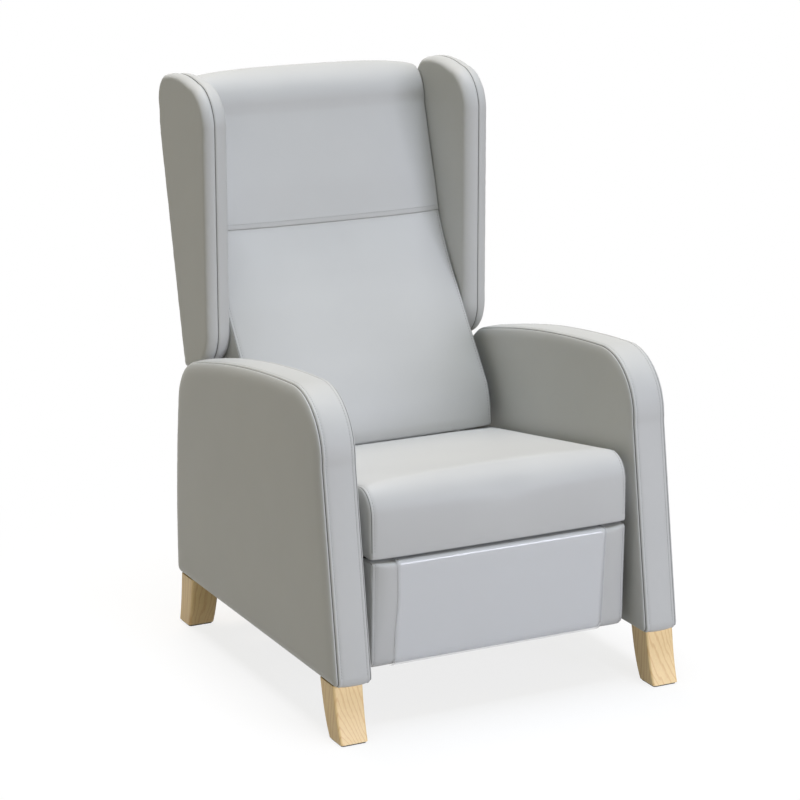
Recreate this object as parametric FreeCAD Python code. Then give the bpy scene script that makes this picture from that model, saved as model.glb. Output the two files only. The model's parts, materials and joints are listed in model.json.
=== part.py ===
import FreeCAD, Part
import math
import os
from FreeCAD import Vector

# Push back recliner with wings, sabre legs and a footrest that swings out.
# X runs across the chair, the front faces -Y, Z is up and the floor is Z = 0.
# Lengths are millimetres, and depths run back from the front of the feet.

# Chair as a whole
WIDTH = 720.0
FLOOR = 0.0
PLATE = 4.0             # steel plate of the mechanism
LAYER_GAP = 0.5         # running gap between plates that swing past each other
FIT = 0.05              # radial clearance of every pin and bolt in its hole
SEAT_FIT = 0.3          # clearance between stuffed forms and what they wrap
OVERRUN = 50.0          # how far cutting tools pass what they cut

# Legs
LEG_HEIGHT = 107.0
GLIDE = 3.0
GLIDE_EDGE = 5.0
LEG_FROM_SIDE = 34.0    # leg centre from the chair's side
FOOT_WIDTH = 54.0
FOOT_DEPTH = 52.0
LEG_TOP_WIDTH = 59.0
LEG_TOP_DEPTH = 58.0
LEG_CORNER = 5.0
FRONT_LEG_LEAN = 27.0   # the feet splay out of the arm by this much
REAR_LEG_LEAN = 22.0
REAR_FOOT_OUT = 5.0     # back of the rear feet behind the arms
LEG_HEIGHT_SHARES = [0.0, 0.33, 0.67, 1.0]
LEG_SPLAY_SHARES = [0.0, 0.46, 0.77, 1.0]
LEG_BOLT_RADIUS = 4.0
LEG_BOLT_IN_LEG = 45.0
LEG_BOLT_IN_ARM = 40.0

# Arms
ARM_FRONT = 11.0
ARM_DEPTH = 743.0
ARM_RISE = 517.0
ARM_BAND_WIDTH = 63.0   # band between the two seams
ARM_BAND = 14.0         # thickness of the padded band
ARM_OUTER_CROWN = 9.0
ARM_INNER_CROWN = 6.0
ARM_CORE = 33.0
ARM_CORNER = 12.0
ARM_RAIL_PROUD = 2.0    # the rail stands out of the inner pad
ARM_RAIL_FRONT = 150.0  # depth at which the rail starts, behind the footrest
ARM_RAIL_DROP = 12.0    # rail below the seat's underside
ARM_SIDE_SHARES = [
    [(0.083, 0.760)],
    [(0.131, 0.934), (0.245, 1.0)],
    [(0.572, 0.956), (0.873, 0.872)],
    [(0.941, 0.809), (0.973, 0.698)],
    [(0.996, 0.373), (1.0, 0.0)],
]
CROWN_INSET_SHARES = [0.0, 0.28, 1.0, 2.6]
CROWN_HEIGHT_SHARES = [0.0, 0.5, 0.86, 1.0]

# Cross rails between the arms
CROSS_RAIL = 30.0
CROSS_RAIL_CLEAR = 1.0  # rails below the base plates
FRONT_RAIL_BACK = 21.0  # front rail behind the front pivots
REAR_RAIL_INSET = 53.0  # rear rail from the arms' rear end

# Mechanism: base plates and swing links
SWING_LENGTH = 90.0     # pivot to pivot
SWING_ANGLE = 20.0      # the links lean back at rest and forward when reclined
LINK_HALF = 12.0
PIN_RADIUS = 5.0
PIN_HEAD_RADIUS = 8.0
PIN_HEAD = 1.5
PIN_PLAY = 0.2
SEAT_PIVOT_DROP = 35.4  # upper pivots below the seat's underside
FRONT_PIVOT_INSET = 255.0
REAR_PIVOT_INSET = 24.0
EAR = 22.0              # radius of the plate round a pivot
BASE_PLATE_DROP = 42.0  # plate below its pivots
BASE_PLATE_WAIST = 15.0
TIE_SHARE = 0.58        # place of the tie tube along a swing link
TIE_TUBE_RADIUS = 7.0
TUBE_WALL = 1.5
PLATE_BOLTS = 4
PLATE_BOLT_RADIUS = 4.0
PLATE_BOLT_HEAD = 3.0
PLATE_BOLT_HEAD_RADIUS = 7.0
PLATE_BOLT_LENGTH = 20.0
PLATE_BOLT_RISE = 17.0

# Mechanism: footrest links
FOOT_PIVOT_INSET = 77.0
FOOT_PIVOT_DROP = 35.0
FOOT_LINK = 200.0
UPPER_LINK_ANGLE = 160.0
LOWER_LINK_ANGLE = 10.0
TORQUE_TUBE_RADIUS = 9.0
TIE_ROD_RADIUS = 5.0
MIDDLE_SHARE = 0.5

# Seat
SEAT_SIDE_GAP = 19.0    # room between the seat and an arm, for the mechanism
SEAT_RISE = 213.0       # seat's underside above the arms' underside
SEAT_FRONT = 56.0       # depth of the seat's side seam
SEAT_UNDER_BACK = 21.0  # seat cushion behind the front of the back cushion
SEAT_NOSE_HEIGHT = 126.0
SEAT_REAR_HEIGHT = 50.0
SEAT_NOSE_RADIUS = 42.0
SEAT_LOW_RADIUS = 9.0
SEAT_FRONT_CROWN = 4.0
SEAT_TOP_CROWN = 9.0
SEAT_SIDE_WALL = 6.0
SEAT_BOARD = 26.0
SEAT_BOARD_HEIGHT = 30.0
SEAT_NOSE_FOAM = 18.0   # foam before and behind the frame
SEAT_TAIL_FOAM = 15.0
SEAT_RAIL_HEIGHT = 54.0
SEAT_RAIL_INSET = 60.0
SEAT_FLANGE = 35.0
SEAT_FLANGE_INSET = 46.0    # flange ends ahead of the back's pivot
BACK_PIVOT_INSET = 124.0
BACK_PIVOT_RISE = 10.0
LUG = 18.0
STRAP = 2.5
SEAT_STRAP_WIDTH = 60.0
SEAT_STRAPS = 5
STRAP_LAP = 14.0        # how far a strap lies on the wood at each end

# Back
BACK_RAKE = 13.0
BACK_BEHIND_ARMS = 18.0 # rear face at its lower end
BACK_RISE = 15.0        # lower end above the seat's underside
BACK_EDGE = 6.0         # cushions inside the frame's sides
BACK_COVER = 10.0
COVER_CORNER = 24.0
STILE = 24.0
STILE_WIDTH = 26.0
BACK_RAIL_HEIGHT = 56.0
BACK_RAIL_SHARES = [0.015, 0.613, 0.983]
BACK_STRAP_WIDTH = 55.0
BACK_STRAP_SHARES = [0.159, 0.310, 0.461, 0.763, 0.884]
BACK_SEAT_GAP = 9.0     # lower cushion above the seat cushion
BACK_SEAM_SHARE = 0.6234
BACK_CREST_RISE = 33.0  # head cushion above the frame
BACK_CROWN = 18.0
SEAM_DRAW = 7.0
CUSHION_CROWN_SHARES = [0.0, 0.4, 0.84, 1.0, 0.84, 0.4, 0.0]
CUSHION_ACROSS_SHARES = [-1.0, -0.92, -0.6, 0.0, 0.6, 0.92, 1.0]
FOOT_THICK = 216.2      # cushions ahead of the rear face, at their side seams
LUMBAR_THICK = 217.1
SHOULDER_THICK = 128.6
NECK_THICK = 76.0
HEAD_THICK = 58.0
LUMBAR_SHARE = 0.1757   # shares of the frame's height
SHOULDER_SHARE = 0.4268
BROW_DROP = 12.0
CREST_SHARE = 0.58
BRACKET_TOP_SHARE = 0.714   # shares of the stile's length below the wing's board
BRACKET_NECK_SHARE = 0.33
BRACKET_BOLT_RADIUS = 4.0
BRACKET_BOLT_LENGTH = 20.0

# Wings
WING_TOP = 1096.0
WING_ABOVE_BACK = 44.0
WING_CLEAR = 2.0        # wings from the cushions between them
WING_INNER_PAD = 29.0   # inner face to seam, and seam to outer face
WING_OUTER_PAD = 22.0
WING_BOARD = 10.0
WING_PAD = 16.0
WING_REACH = 87.0       # nose ahead of the heel of the back
WING_TUCK = 116.0       # wing's lower end below the highest point of the arms
WING_CORNER_SHARE = 0.901
WING_SIDE_SHARES = [
    [(0.0, 0.857)],
    [(0.058, 0.945), (0.297, 0.995)],
    [(0.550, 1.0), (0.819, 0.968)],
    [(0.950, 0.950), (1.0, WING_CORNER_SHARE)],
    [(1.0, 0.0)],
    [(0.481, 0.036)],
    [(0.142, 0.077), (0.0, 0.163)],
]
WING_OUTER_INSET_SHARES = [0.0, 0.12, 0.42, 1.0]
WING_OUTER_WIDTH_SHARES = [0.0, 0.55, 0.86, 1.0]
WING_OUTER_ROUND = 22.0
WING_INNER_ROUND = 13.0

# Footrest
FOOTREST_LOW_IN = 5.0   # side seams behind the seat's, at the lower and the upper end
FOOTREST_HIGH_IN = 2.0
FOOTREST_LOW_CROWN = 3.0
FOOTREST_HIGH_CROWN = 12.0
FOOTREST_RISE = 2.0     # above the arms' underside
FOOTREST_GAP = 7.0      # below the seat
FOOTREST_LOW_ROUND = 30.0
FOOTREST_TOP_ROUND = 10.0
FOOTREST_INSET = 40.0   # rear face behind the seat's side seam
FOOTREST_BOARD = 12.0
FOOTREST_WRAP = 9.0
FOOTREST_END = 47.0     # ends that are drawn in to the side seams, free of film
FOOTREST_END_SHARES = [0.0, 0.45, 0.82, 1.0]
FOOTREST_CROWN_SHARES = [1.0, 0.93, 0.55, 0.0]
FILM = 0.8
FOOT_BRACKET_RISE = 60.0
FOOT_BRACKET_DROP = 32.0
FOOT_BRACKET_WIDTH = 30.0

# Sizes that follow from the ones above
RAKE = math.tan(math.radians(BACK_RAKE))
ARM_REAR = ARM_FRONT + ARM_DEPTH
SEAT_BASE = LEG_HEIGHT + SEAT_RISE
SEAT_NOSE_Z = SEAT_BASE + SEAT_NOSE_HEIGHT
SEAT_REAR_Z = SEAT_BASE + SEAT_REAR_HEIGHT
BACK_HEEL_AT = ARM_REAR + BACK_BEHIND_ARMS
BACK_BOTTOM = SEAT_BASE + BACK_RISE
BACK_TOP = WING_TOP - WING_ABOVE_BACK
BACK_HEIGHT = BACK_TOP - BACK_BOTTOM
BACK_CREST = BACK_TOP + BACK_CREST_RISE
BACK_UNDERSIDE = SEAT_REAR_Z + BACK_SEAT_GAP
BACK_SEAM_Z = BACK_BOTTOM + BACK_HEIGHT * BACK_SEAM_SHARE
LUMBAR_Z = BACK_BOTTOM + BACK_HEIGHT * LUMBAR_SHARE
SHOULDER_Z = BACK_BOTTOM + BACK_HEIGHT * SHOULDER_SHARE
BACK_REACH = BACK_HEEL_AT + (BACK_TOP - BACK_BOTTOM) * RAKE
FRONT = -BACK_REACH / 2
BACK_FOOT_AT = BACK_HEEL_AT + (BACK_UNDERSIDE - BACK_BOTTOM) * RAKE - FOOT_THICK
SEAT_REAR = BACK_FOOT_AT + SEAT_UNDER_BACK
SEAT_FRAME_FRONT = SEAT_FRONT + SEAT_NOSE_FOAM
SEAT_FRAME_REAR = SEAT_REAR - SEAT_TAIL_FOAM
SEAT_RAIL_BOTTOM = SEAT_BASE - SEAT_RAIL_HEIGHT
SEAT_RAIL_FRONT = SEAT_FRONT + SEAT_RAIL_INSET
FRONT_PIVOT_AT = SEAT_FRONT + FRONT_PIVOT_INSET
REAR_PIVOT_AT = SEAT_REAR - REAR_PIVOT_INSET
BASE_PIVOT_Z = SEAT_BASE - SEAT_PIVOT_DROP - SWING_LENGTH * math.cos(math.radians(SWING_ANGLE))
BASE_PLATE_LOW = BASE_PIVOT_Z - BASE_PLATE_DROP
BACK_PIVOT_AT = BACK_HEEL_AT - BACK_PIVOT_INSET
BACK_PIVOT_Z = SEAT_BASE + BACK_PIVOT_RISE
SEAT_FLANGE_REAR = BACK_PIVOT_AT - SEAT_FLANGE_INSET
FOOT_PIVOT_AT = SEAT_FRONT + FOOT_PIVOT_INSET
FOOT_PIVOT_Z = SEAT_BASE - FOOT_PIVOT_DROP
FOOTREST_LOW_AT = SEAT_FRONT + FOOTREST_LOW_IN
FOOTREST_HIGH_AT = SEAT_FRONT + FOOTREST_HIGH_IN
FOOTREST_BACK = SEAT_FRONT + FOOTREST_INSET
FOOTREST_BOTTOM = LEG_HEIGHT + FOOTREST_RISE
FOOTREST_TOP = SEAT_BASE - FOOTREST_GAP
FRONT_RAIL_AT = FRONT_PIVOT_AT + FRONT_RAIL_BACK
REAR_RAIL_AT = ARM_REAR - REAR_RAIL_INSET
REAR_FOOT_BACK = ARM_REAR + REAR_FOOT_OUT
ARM_RAIL_TOP = SEAT_BASE - ARM_RAIL_DROP
WING_FRONT = BACK_HEEL_AT - WING_REACH
WING_BOTTOM = LEG_HEIGHT + ARM_RISE - WING_TUCK
WING_HEIGHT = WING_TOP - WING_BOTTOM
STILE_FREE = WING_BOTTOM + WING_PAD - BACK_BOTTOM
BRACKET_TOP = BACK_BOTTOM + STILE_FREE * BRACKET_TOP_SHARE
BRACKET_NECK = BACK_BOTTOM + STILE_FREE * BRACKET_NECK_SHARE
WING_CORNER_Z = WING_BOTTOM + WING_HEIGHT * WING_CORNER_SHARE
ARM_OUTER_SEAM = WIDTH / 2 - ARM_OUTER_CROWN
ARM_INNER_SEAM = ARM_OUTER_SEAM - ARM_BAND_WIDTH
ARM_CORE_INNER = (ARM_OUTER_SEAM + ARM_INNER_SEAM - ARM_CORE) / 2
ARM_CORE_OUTER = ARM_CORE_INNER + ARM_CORE
ARM_INNER = ARM_INNER_SEAM - ARM_INNER_CROWN
ARM_RAIL_INNER = ARM_INNER - ARM_RAIL_PROUD
SEAT_HALF = ARM_INNER - SEAT_SIDE_GAP
FOOTREST_HALF = SEAT_HALF
FILM_HALF = FOOTREST_HALF - FOOTREST_END
LEG_X = WIDTH / 2 - LEG_FROM_SIDE
LEGS = [("front_leg", FOOT_DEPTH / 2, FRONT_LEG_LEAN + (LEG_TOP_DEPTH - FOOT_DEPTH) / 2),
        ("rear_leg", REAR_FOOT_BACK - FOOT_DEPTH / 2,
         -REAR_LEG_LEAN - (LEG_TOP_DEPTH - FOOT_DEPTH) / 2)]
LAYER = PLATE + LAYER_GAP
BASE_PLATE_X = ARM_RAIL_INNER - PLATE
SWING_X = BASE_PLATE_X - LAYER
SEAT_RAIL_X = SWING_X - LAYER
SEAT_FLANGE_INNER = SEAT_RAIL_X - SEAT_FLANGE
UPPER_LINK_X = SEAT_RAIL_X - LAYER
LOWER_LINK_X = UPPER_LINK_X - LAYER
FOOT_BRACKET_X = LOWER_LINK_X - LAYER
STILE_OUTER = UPPER_LINK_X - LAYER_GAP
STILE_INNER = STILE_OUTER - STILE_WIDTH
BACK_HALF = STILE_OUTER - BACK_EDGE
WING_INNER = BACK_HALF + WING_CLEAR
WING_SEAM = WING_INNER + WING_INNER_PAD
WING_HALF = WING_SEAM + WING_OUTER_PAD
SEAT_FRAME_TOP = SEAT_BASE + SEAT_BOARD_HEIGHT
SEAT_FRAME_HALF = SEAT_HALF - SEAT_SIDE_WALL


def place(x, depth, z):
    """Point at a depth behind the front of the feet."""
    return Vector(x, FRONT + depth, z)


def side_wire(x, start, moves):
    """Closed outline in a side plane: a move is one point (line) or two (arc)."""
    here = place(x, *start)
    first = here
    edges = []
    for move in moves:
        there = place(x, *move[-1])
        if len(move) == 1:
            edges.append(Part.LineSegment(here, there).toShape())
        else:
            edges.append(Part.Arc(here, place(x, *move[0]), there).toShape())
        here = there
    if here.distanceToPoint(first) > FIT:
        edges.append(Part.LineSegment(here, first).toShape())
    return Part.Wire(edges)


def bend(a, b, upright_first):
    """Middle of a quarter turn from a to b, which leaves a upright or level."""
    near = 1 - math.sqrt(0.5)
    far = 1 - near
    depth_share, z_share = (near, far) if upright_first else (far, near)
    return (a[0] + (b[0] - a[0]) * depth_share, a[1] + (b[1] - a[1]) * z_share)


def prism(wire, width):
    """Solid of a side outline carried across the chair."""
    return Part.Face(wire).extrude(Vector(width, 0, 0))


def side_prism(x0, x1, start, moves):
    return prism(side_wire(x0, start, moves), x1 - x0)


def inset(wire, by):
    """The same outline drawn in by a distance."""
    if by == 0:
        return wire
    return wire.makeOffset2D(-by)


def block(x0, x1, near, far, z0, z1):
    return Part.makeBox(x1 - x0, far - near, z1 - z0, place(x0, near, z0))


def rod(x0, x1, depth, z, radius):
    return Part.makeCylinder(radius, x1 - x0, place(x0, depth, z), Vector(1, 0, 0))


def mirrored(shape):
    return shape.mirror(Vector(0, 0, 0), Vector(1, 0, 0))


def both(shape):
    """A shape and its mirror image as one group."""
    return Part.Compound([shape, mirrored(shape)])


def save(name, shape):
    solids = shape.Solids
    shape = solids[0] if len(solids) == 1 else Part.Compound(solids)
    shape.exportStep("parts/" + name + ".step")
    print(name, len(solids), "solids", round(shape.Volume / 1000, 1), "cm3")


def save_pair(name, shape):
    """The sitter's left is +X."""
    save(name + "_left", shape)
    save(name + "_right", mirrored(shape))


# Pivots, worked out from the links
def swing_top(pivot_at):
    lean = math.radians(SWING_ANGLE)
    return (pivot_at + SWING_LENGTH * math.sin(lean), BASE_PIVOT_Z + SWING_LENGTH * math.cos(lean))


def along(a, b, share):
    return (a[0] + (b[0] - a[0]) * share, a[1] + (b[1] - a[1]) * share)


FRONT_BASE_PIVOT = (FRONT_PIVOT_AT, BASE_PIVOT_Z)
REAR_BASE_PIVOT = (REAR_PIVOT_AT, BASE_PIVOT_Z)
FRONT_SEAT_PIVOT = swing_top(FRONT_PIVOT_AT)
REAR_SEAT_PIVOT = swing_top(REAR_PIVOT_AT)
BACK_PIVOT = (BACK_PIVOT_AT, BACK_PIVOT_Z)
FOOT_PIVOT = (FOOT_PIVOT_AT, FOOT_PIVOT_Z)
UPPER_TURN = math.radians(UPPER_LINK_ANGLE)
LOWER_TURN = math.radians(LOWER_LINK_ANGLE)
ELBOW = (FOOT_PIVOT_AT - FOOT_LINK * math.cos(UPPER_TURN),
         FOOT_PIVOT_Z - FOOT_LINK * math.sin(UPPER_TURN))
FOOTREST_PIVOT = (ELBOW[0] - FOOT_LINK * math.cos(LOWER_TURN),
                  ELBOW[1] - FOOT_LINK * math.sin(LOWER_TURN))


# Legs: rounded square sections that splay outwards towards the foot
def rounded_section(x, depth, z, width, length, corner):
    """Horizontal outline centred on a place."""
    w = width / 2
    d = length / 2
    r = corner
    k = r * (1 - math.sqrt(0.5))
    corners = [(w, d), (-w, d), (-w, -d), (w, -d)]
    turns = [((0, -1), (-1, 0)), ((1, 0), (0, -1)), ((0, 1), (1, 0)), ((-1, 0), (0, 1))]
    edges = []
    ends = []
    for (cx, cy), (into, out) in zip(corners, turns):
        a = place(x + cx + into[0] * r, depth + cy + into[1] * r, z)
        b = place(x + cx + out[0] * r, depth + cy + out[1] * r, z)
        sx = math.copysign(k, -cx)
        sy = math.copysign(k, -cy)
        edges.append(Part.Arc(a, place(x + cx + sx, depth + cy + sy, z), b).toShape())
        ends.append((a, b))
    joined = []
    for i, edge in enumerate(edges):
        joined.append(edge)
        joined.append(Part.LineSegment(ends[i][1], ends[(i + 1) % len(ends)][0]).toShape())
    return Part.Wire(joined)


def leg_bolt(foot_centre, lean, radius):
    """Dowel bolt that stands half in the leg and half in the arm."""
    return Part.makeCylinder(radius, LEG_BOLT_IN_LEG + LEG_BOLT_IN_ARM,
                             place(LEG_X, foot_centre + lean, LEG_HEIGHT - LEG_BOLT_IN_LEG))


def leg(foot_centre, lean):
    """Leg whose top stands behind its foot by the lean (in front if negative)."""
    x = LEG_X
    sections = []
    for up, out in zip(LEG_HEIGHT_SHARES, LEG_SPLAY_SHARES):
        z = FLOOR + GLIDE + (LEG_HEIGHT - GLIDE) * up
        depth = foot_centre + lean * out
        width = FOOT_WIDTH + (LEG_TOP_WIDTH - FOOT_WIDTH) * out
        length = FOOT_DEPTH + (LEG_TOP_DEPTH - FOOT_DEPTH) * out
        sections.append(rounded_section(x, depth, z, width, length, LEG_CORNER))
    solid = Part.makeLoft(sections, True, False)
    sole = rounded_section(x, foot_centre, FLOOR, FOOT_WIDTH - GLIDE_EDGE,
                           FOOT_DEPTH - GLIDE_EDGE, LEG_CORNER)
    glide = Part.Face(sole).extrude(Vector(0, 0, GLIDE))
    return solid.cut(leg_bolt(foot_centre, lean, LEG_BOLT_RADIUS + FIT)), glide


def make_legs():
    glides = []
    bolts = []
    for name, foot_centre, lean in LEGS:
        solid, glide = leg(foot_centre, lean)
        save_pair(name, solid)
        glides.append(both(glide))
        bolts.append(both(leg_bolt(foot_centre, lean, LEG_BOLT_RADIUS)))
    save("leg_bolts", Part.Compound(bolts))
    save("leg_glides", Part.Compound(glides))


# Arms: wooden core, padded band round its edge, crowned pads on both sides
def arm_wire(x, by=0):
    def point(shares):
        return (ARM_FRONT + shares[0] * ARM_DEPTH, LEG_HEIGHT + shares[1] * ARM_RISE)

    moves = [[point(shares) for shares in move] for move in ARM_SIDE_SHARES]
    return inset(side_wire(x, point((0.0, 0.0)), moves), by)


def crowned(outline, x0, crown, side):
    """Pad face that swells from its seam, side +1 or -1 across the chair."""
    sections = []
    for out, up in zip(CROWN_INSET_SHARES, CROWN_HEIGHT_SHARES):
        sections.append(outline(x0 + side * crown * up, crown * out))
    return Part.makeLoft(sections, True, False)


def arm_envelope():
    """Block as wide as an arm whose lower corners are rounded."""
    whole = prism(arm_wire(ARM_RAIL_INNER), WIDTH / 2 - ARM_RAIL_INNER)
    corners = [edge for edge in whole.Edges
               if edge.BoundBox.ZMax < LEG_HEIGHT + FIT and edge.BoundBox.YLength < FIT]
    return whole.makeFillet(ARM_CORNER, corners)


def make_arms():
    inner = ARM_BAND + SEAT_FIT
    envelope = arm_envelope()
    whole = prism(arm_wire(ARM_INNER_SEAM), ARM_BAND_WIDTH).common(envelope)
    hollow = prism(arm_wire(ARM_INNER_SEAM - OVERRUN, ARM_BAND), ARM_BAND_WIDTH + 2 * OVERRUN)
    band = whole.cut(hollow)
    core = prism(arm_wire(ARM_CORE_INNER, inner), ARM_CORE)
    for name, foot_centre, lean in LEGS:
        hole = leg_bolt(foot_centre, lean, LEG_BOLT_RADIUS + FIT)
        band = band.cut(hole)
        core = core.cut(hole)
    outer = prism(arm_wire(ARM_CORE_OUTER, inner), ARM_OUTER_SEAM - ARM_CORE_OUTER)
    outer = outer.fuse(crowned(arm_wire, ARM_OUTER_SEAM, ARM_OUTER_CROWN, 1))
    outer = outer.removeSplitter().common(envelope)
    lining = prism(arm_wire(ARM_INNER_SEAM, inner), ARM_CORE_INNER - ARM_INNER_SEAM)
    lining = lining.fuse(crowned(arm_wire, ARM_INNER_SEAM, ARM_INNER_CROWN, -1))
    low = block(ARM_RAIL_INNER, ARM_CORE_INNER, ARM_RAIL_FRONT, ARM_REAR + OVERRUN,
                LEG_HEIGHT - OVERRUN, ARM_RAIL_TOP)
    lining = lining.cut(low).removeSplitter()
    rail = prism(arm_wire(ARM_RAIL_INNER, inner), ARM_CORE_INNER - ARM_RAIL_INNER).common(low)
    for tool in plate_bolt_shanks(PLATE_BOLT_RADIUS + FIT):
        rail = rail.cut(tool)
    save_pair("arm_core", core)
    save_pair("arm_band", band)
    save_pair("arm_outer_pad", outer)
    save_pair("arm_inner_pad", lining)
    save_pair("arm_rail", rail)


# Base plates, cross rails and swing links
def plate_bolt_places():
    span = REAR_PIVOT_AT - FRONT_PIVOT_AT
    z = BASE_PLATE_LOW + PLATE_BOLT_RISE
    return [(FRONT_PIVOT_AT + span * (i + 0.5) / PLATE_BOLTS, z) for i in range(PLATE_BOLTS)]


def plate_bolt_shanks(radius):
    tip = BASE_PLATE_X + PLATE_BOLT_LENGTH
    return [rod(BASE_PLATE_X, tip, depth, z, radius) for depth, z in plate_bolt_places()]


def stadium(x, a, b, radius):
    """Outline of a flat bar with round ends about two pivots."""
    run = math.hypot(b[0] - a[0], b[1] - a[1])
    u = ((b[0] - a[0]) / run * radius, (b[1] - a[1]) / run * radius)
    n = (-u[1], u[0])
    moves = [
        [(b[0] + n[0], b[1] + n[1])],
        [(b[0] + u[0], b[1] + u[1]), (b[0] - n[0], b[1] - n[1])],
        [(a[0] - n[0], a[1] - n[1])],
        [(a[0] - u[0], a[1] - u[1]), (a[0] + n[0], a[1] + n[1])],
    ]
    return side_wire(x, (a[0] + n[0], a[1] + n[1]), moves)


def drilled(shape, x, places, radius):
    for depth, z in places:
        shape = shape.cut(rod(x - OVERRUN, x + OVERRUN, depth, z, radius + FIT))
    return shape


def flat_link(x, a, b):
    return drilled(prism(stadium(x, a, b, LINK_HALF), PLATE), x, [a, b], PIN_RADIUS)


def tube(reach, middle, radius, wall):
    """Tube across the chair that ends against the inner faces of two links."""
    outer = rod(-reach, reach, middle[0], middle[1], radius)
    return outer.cut(rod(-reach - OVERRUN, reach + OVERRUN, middle[0], middle[1], radius - wall))


def pin(x0, x1, middle, head):
    """Pin from x0 to x1 with its head beyond x0 (head -1) or x1 (head +1)."""
    shaft = rod(x0, x1, middle[0], middle[1], PIN_RADIUS)
    start = x1 if head > 0 else x0 - PIN_HEAD
    return shaft.fuse(rod(start, start + PIN_HEAD, middle[0], middle[1], PIN_HEAD_RADIUS))


def make_base():
    low = BASE_PLATE_LOW
    waist = BASE_PIVOT_Z - BASE_PLATE_WAIST
    front = FRONT_PIVOT_AT
    rear = REAR_PIVOT_AT
    moves = [
        [(rear + EAR, low)],
        [(rear + EAR, BASE_PIVOT_Z)],
        [(rear, BASE_PIVOT_Z + EAR), (rear - EAR, BASE_PIVOT_Z)],
        [(rear - 2 * EAR, waist)],
        [(front + 2 * EAR, waist)],
        [(front + EAR, BASE_PIVOT_Z)],
        [(front, BASE_PIVOT_Z + EAR), (front - EAR, BASE_PIVOT_Z)],
    ]
    plate = side_prism(BASE_PLATE_X, ARM_RAIL_INNER, (front - EAR, low), moves)
    plate = drilled(plate, BASE_PLATE_X, [FRONT_BASE_PIVOT, REAR_BASE_PIVOT], PIN_RADIUS)
    for shank in plate_bolt_shanks(PLATE_BOLT_RADIUS + FIT):
        plate = plate.cut(shank)
    save_pair("base_plate", plate)
    bolts = []
    head_x = BASE_PLATE_X - PLATE_BOLT_HEAD
    for (depth, z), shank in zip(plate_bolt_places(), plate_bolt_shanks(PLATE_BOLT_RADIUS)):
        bolts.append(both(shank.fuse(rod(head_x, BASE_PLATE_X, depth, z, PLATE_BOLT_HEAD_RADIUS))))
    save("base_plate_bolts", Part.Compound(bolts))
    pins = [both(pin(SWING_X - PIN_PLAY, ARM_RAIL_INNER, middle, -1))
            for middle in (FRONT_BASE_PIVOT, REAR_BASE_PIVOT)]
    save("base_pins", Part.Compound(pins))
    rails = [block(-ARM_RAIL_INNER, ARM_RAIL_INNER, at, at + CROSS_RAIL,
                   LEG_HEIGHT, BASE_PLATE_LOW - CROSS_RAIL_CLEAR)
             for at in (FRONT_RAIL_AT, REAR_RAIL_AT)]
    save("cross_rails", Part.Compound(rails))


def make_swings():
    for name, low, high in (("front_swing", FRONT_BASE_PIVOT, FRONT_SEAT_PIVOT),
                            ("rear_swing", REAR_BASE_PIVOT, REAR_SEAT_PIVOT)):
        save_pair(name + "_link", flat_link(SWING_X, low, high))
        save(name + "_tube", tube(SWING_X, along(low, high, TIE_SHARE), TIE_TUBE_RADIUS, TUBE_WALL))


# Seat: angle rails, wooden frame, straps and the stuffed cushion
def make_seat_rails():
    low = SEAT_RAIL_BOTTOM
    moves = [
        [(BACK_PIVOT_AT, low)],
        [(BACK_PIVOT_AT + LUG, BACK_PIVOT_Z)],
        [(BACK_PIVOT_AT, BACK_PIVOT_Z + LUG), (BACK_PIVOT_AT - LUG, BACK_PIVOT_Z)],
        [(SEAT_FLANGE_REAR, SEAT_BASE)],
        [(SEAT_RAIL_FRONT, SEAT_BASE)],
    ]
    rail = side_prism(SEAT_RAIL_X, SEAT_RAIL_X + PLATE, (SEAT_RAIL_FRONT, low), moves)
    flange = block(SEAT_FLANGE_INNER, SEAT_RAIL_X, SEAT_RAIL_FRONT, SEAT_FLANGE_REAR,
                   SEAT_BASE - PLATE, SEAT_BASE)
    places = [FRONT_SEAT_PIVOT, REAR_SEAT_PIVOT, FOOT_PIVOT, BACK_PIVOT]
    save_pair("seat_rail", drilled(rail.fuse(flange).removeSplitter(), SEAT_RAIL_X, places,
                                   PIN_RADIUS))
    pins = [both(pin(SEAT_RAIL_X, SWING_X + PLATE + PIN_PLAY, middle, 1))
            for middle in (FRONT_SEAT_PIVOT, REAR_SEAT_PIVOT)]
    pins += [both(pin(UPPER_LINK_X - PIN_PLAY, SEAT_RAIL_X + PLATE, middle, -1))
             for middle in (FOOT_PIVOT, BACK_PIVOT)]
    save("seat_rail_pins", Part.Compound(pins))


def make_seat_frame():
    outer = block(-SEAT_FRAME_HALF, SEAT_FRAME_HALF, SEAT_FRAME_FRONT, SEAT_FRAME_REAR,
                  SEAT_BASE, SEAT_FRAME_TOP)
    hole_half = SEAT_FRAME_HALF - SEAT_BOARD
    hole = block(-hole_half, hole_half, SEAT_FRAME_FRONT + SEAT_BOARD,
                 SEAT_FRAME_REAR - SEAT_BOARD, SEAT_BASE - OVERRUN, SEAT_FRAME_TOP + OVERRUN)
    save("seat_frame", outer.cut(hole))
    straps = []
    pitch = 2 * hole_half / SEAT_STRAPS
    for i in range(SEAT_STRAPS):
        middle = -hole_half + pitch * (i + 0.5)
        straps.append(block(middle - SEAT_STRAP_WIDTH / 2, middle + SEAT_STRAP_WIDTH / 2,
                            SEAT_FRAME_FRONT + SEAT_BOARD - STRAP_LAP,
                            SEAT_FRAME_REAR - SEAT_BOARD + STRAP_LAP,
                            SEAT_FRAME_TOP, SEAT_FRAME_TOP + STRAP))
    save("seat_straps", Part.Compound(straps))


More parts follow.
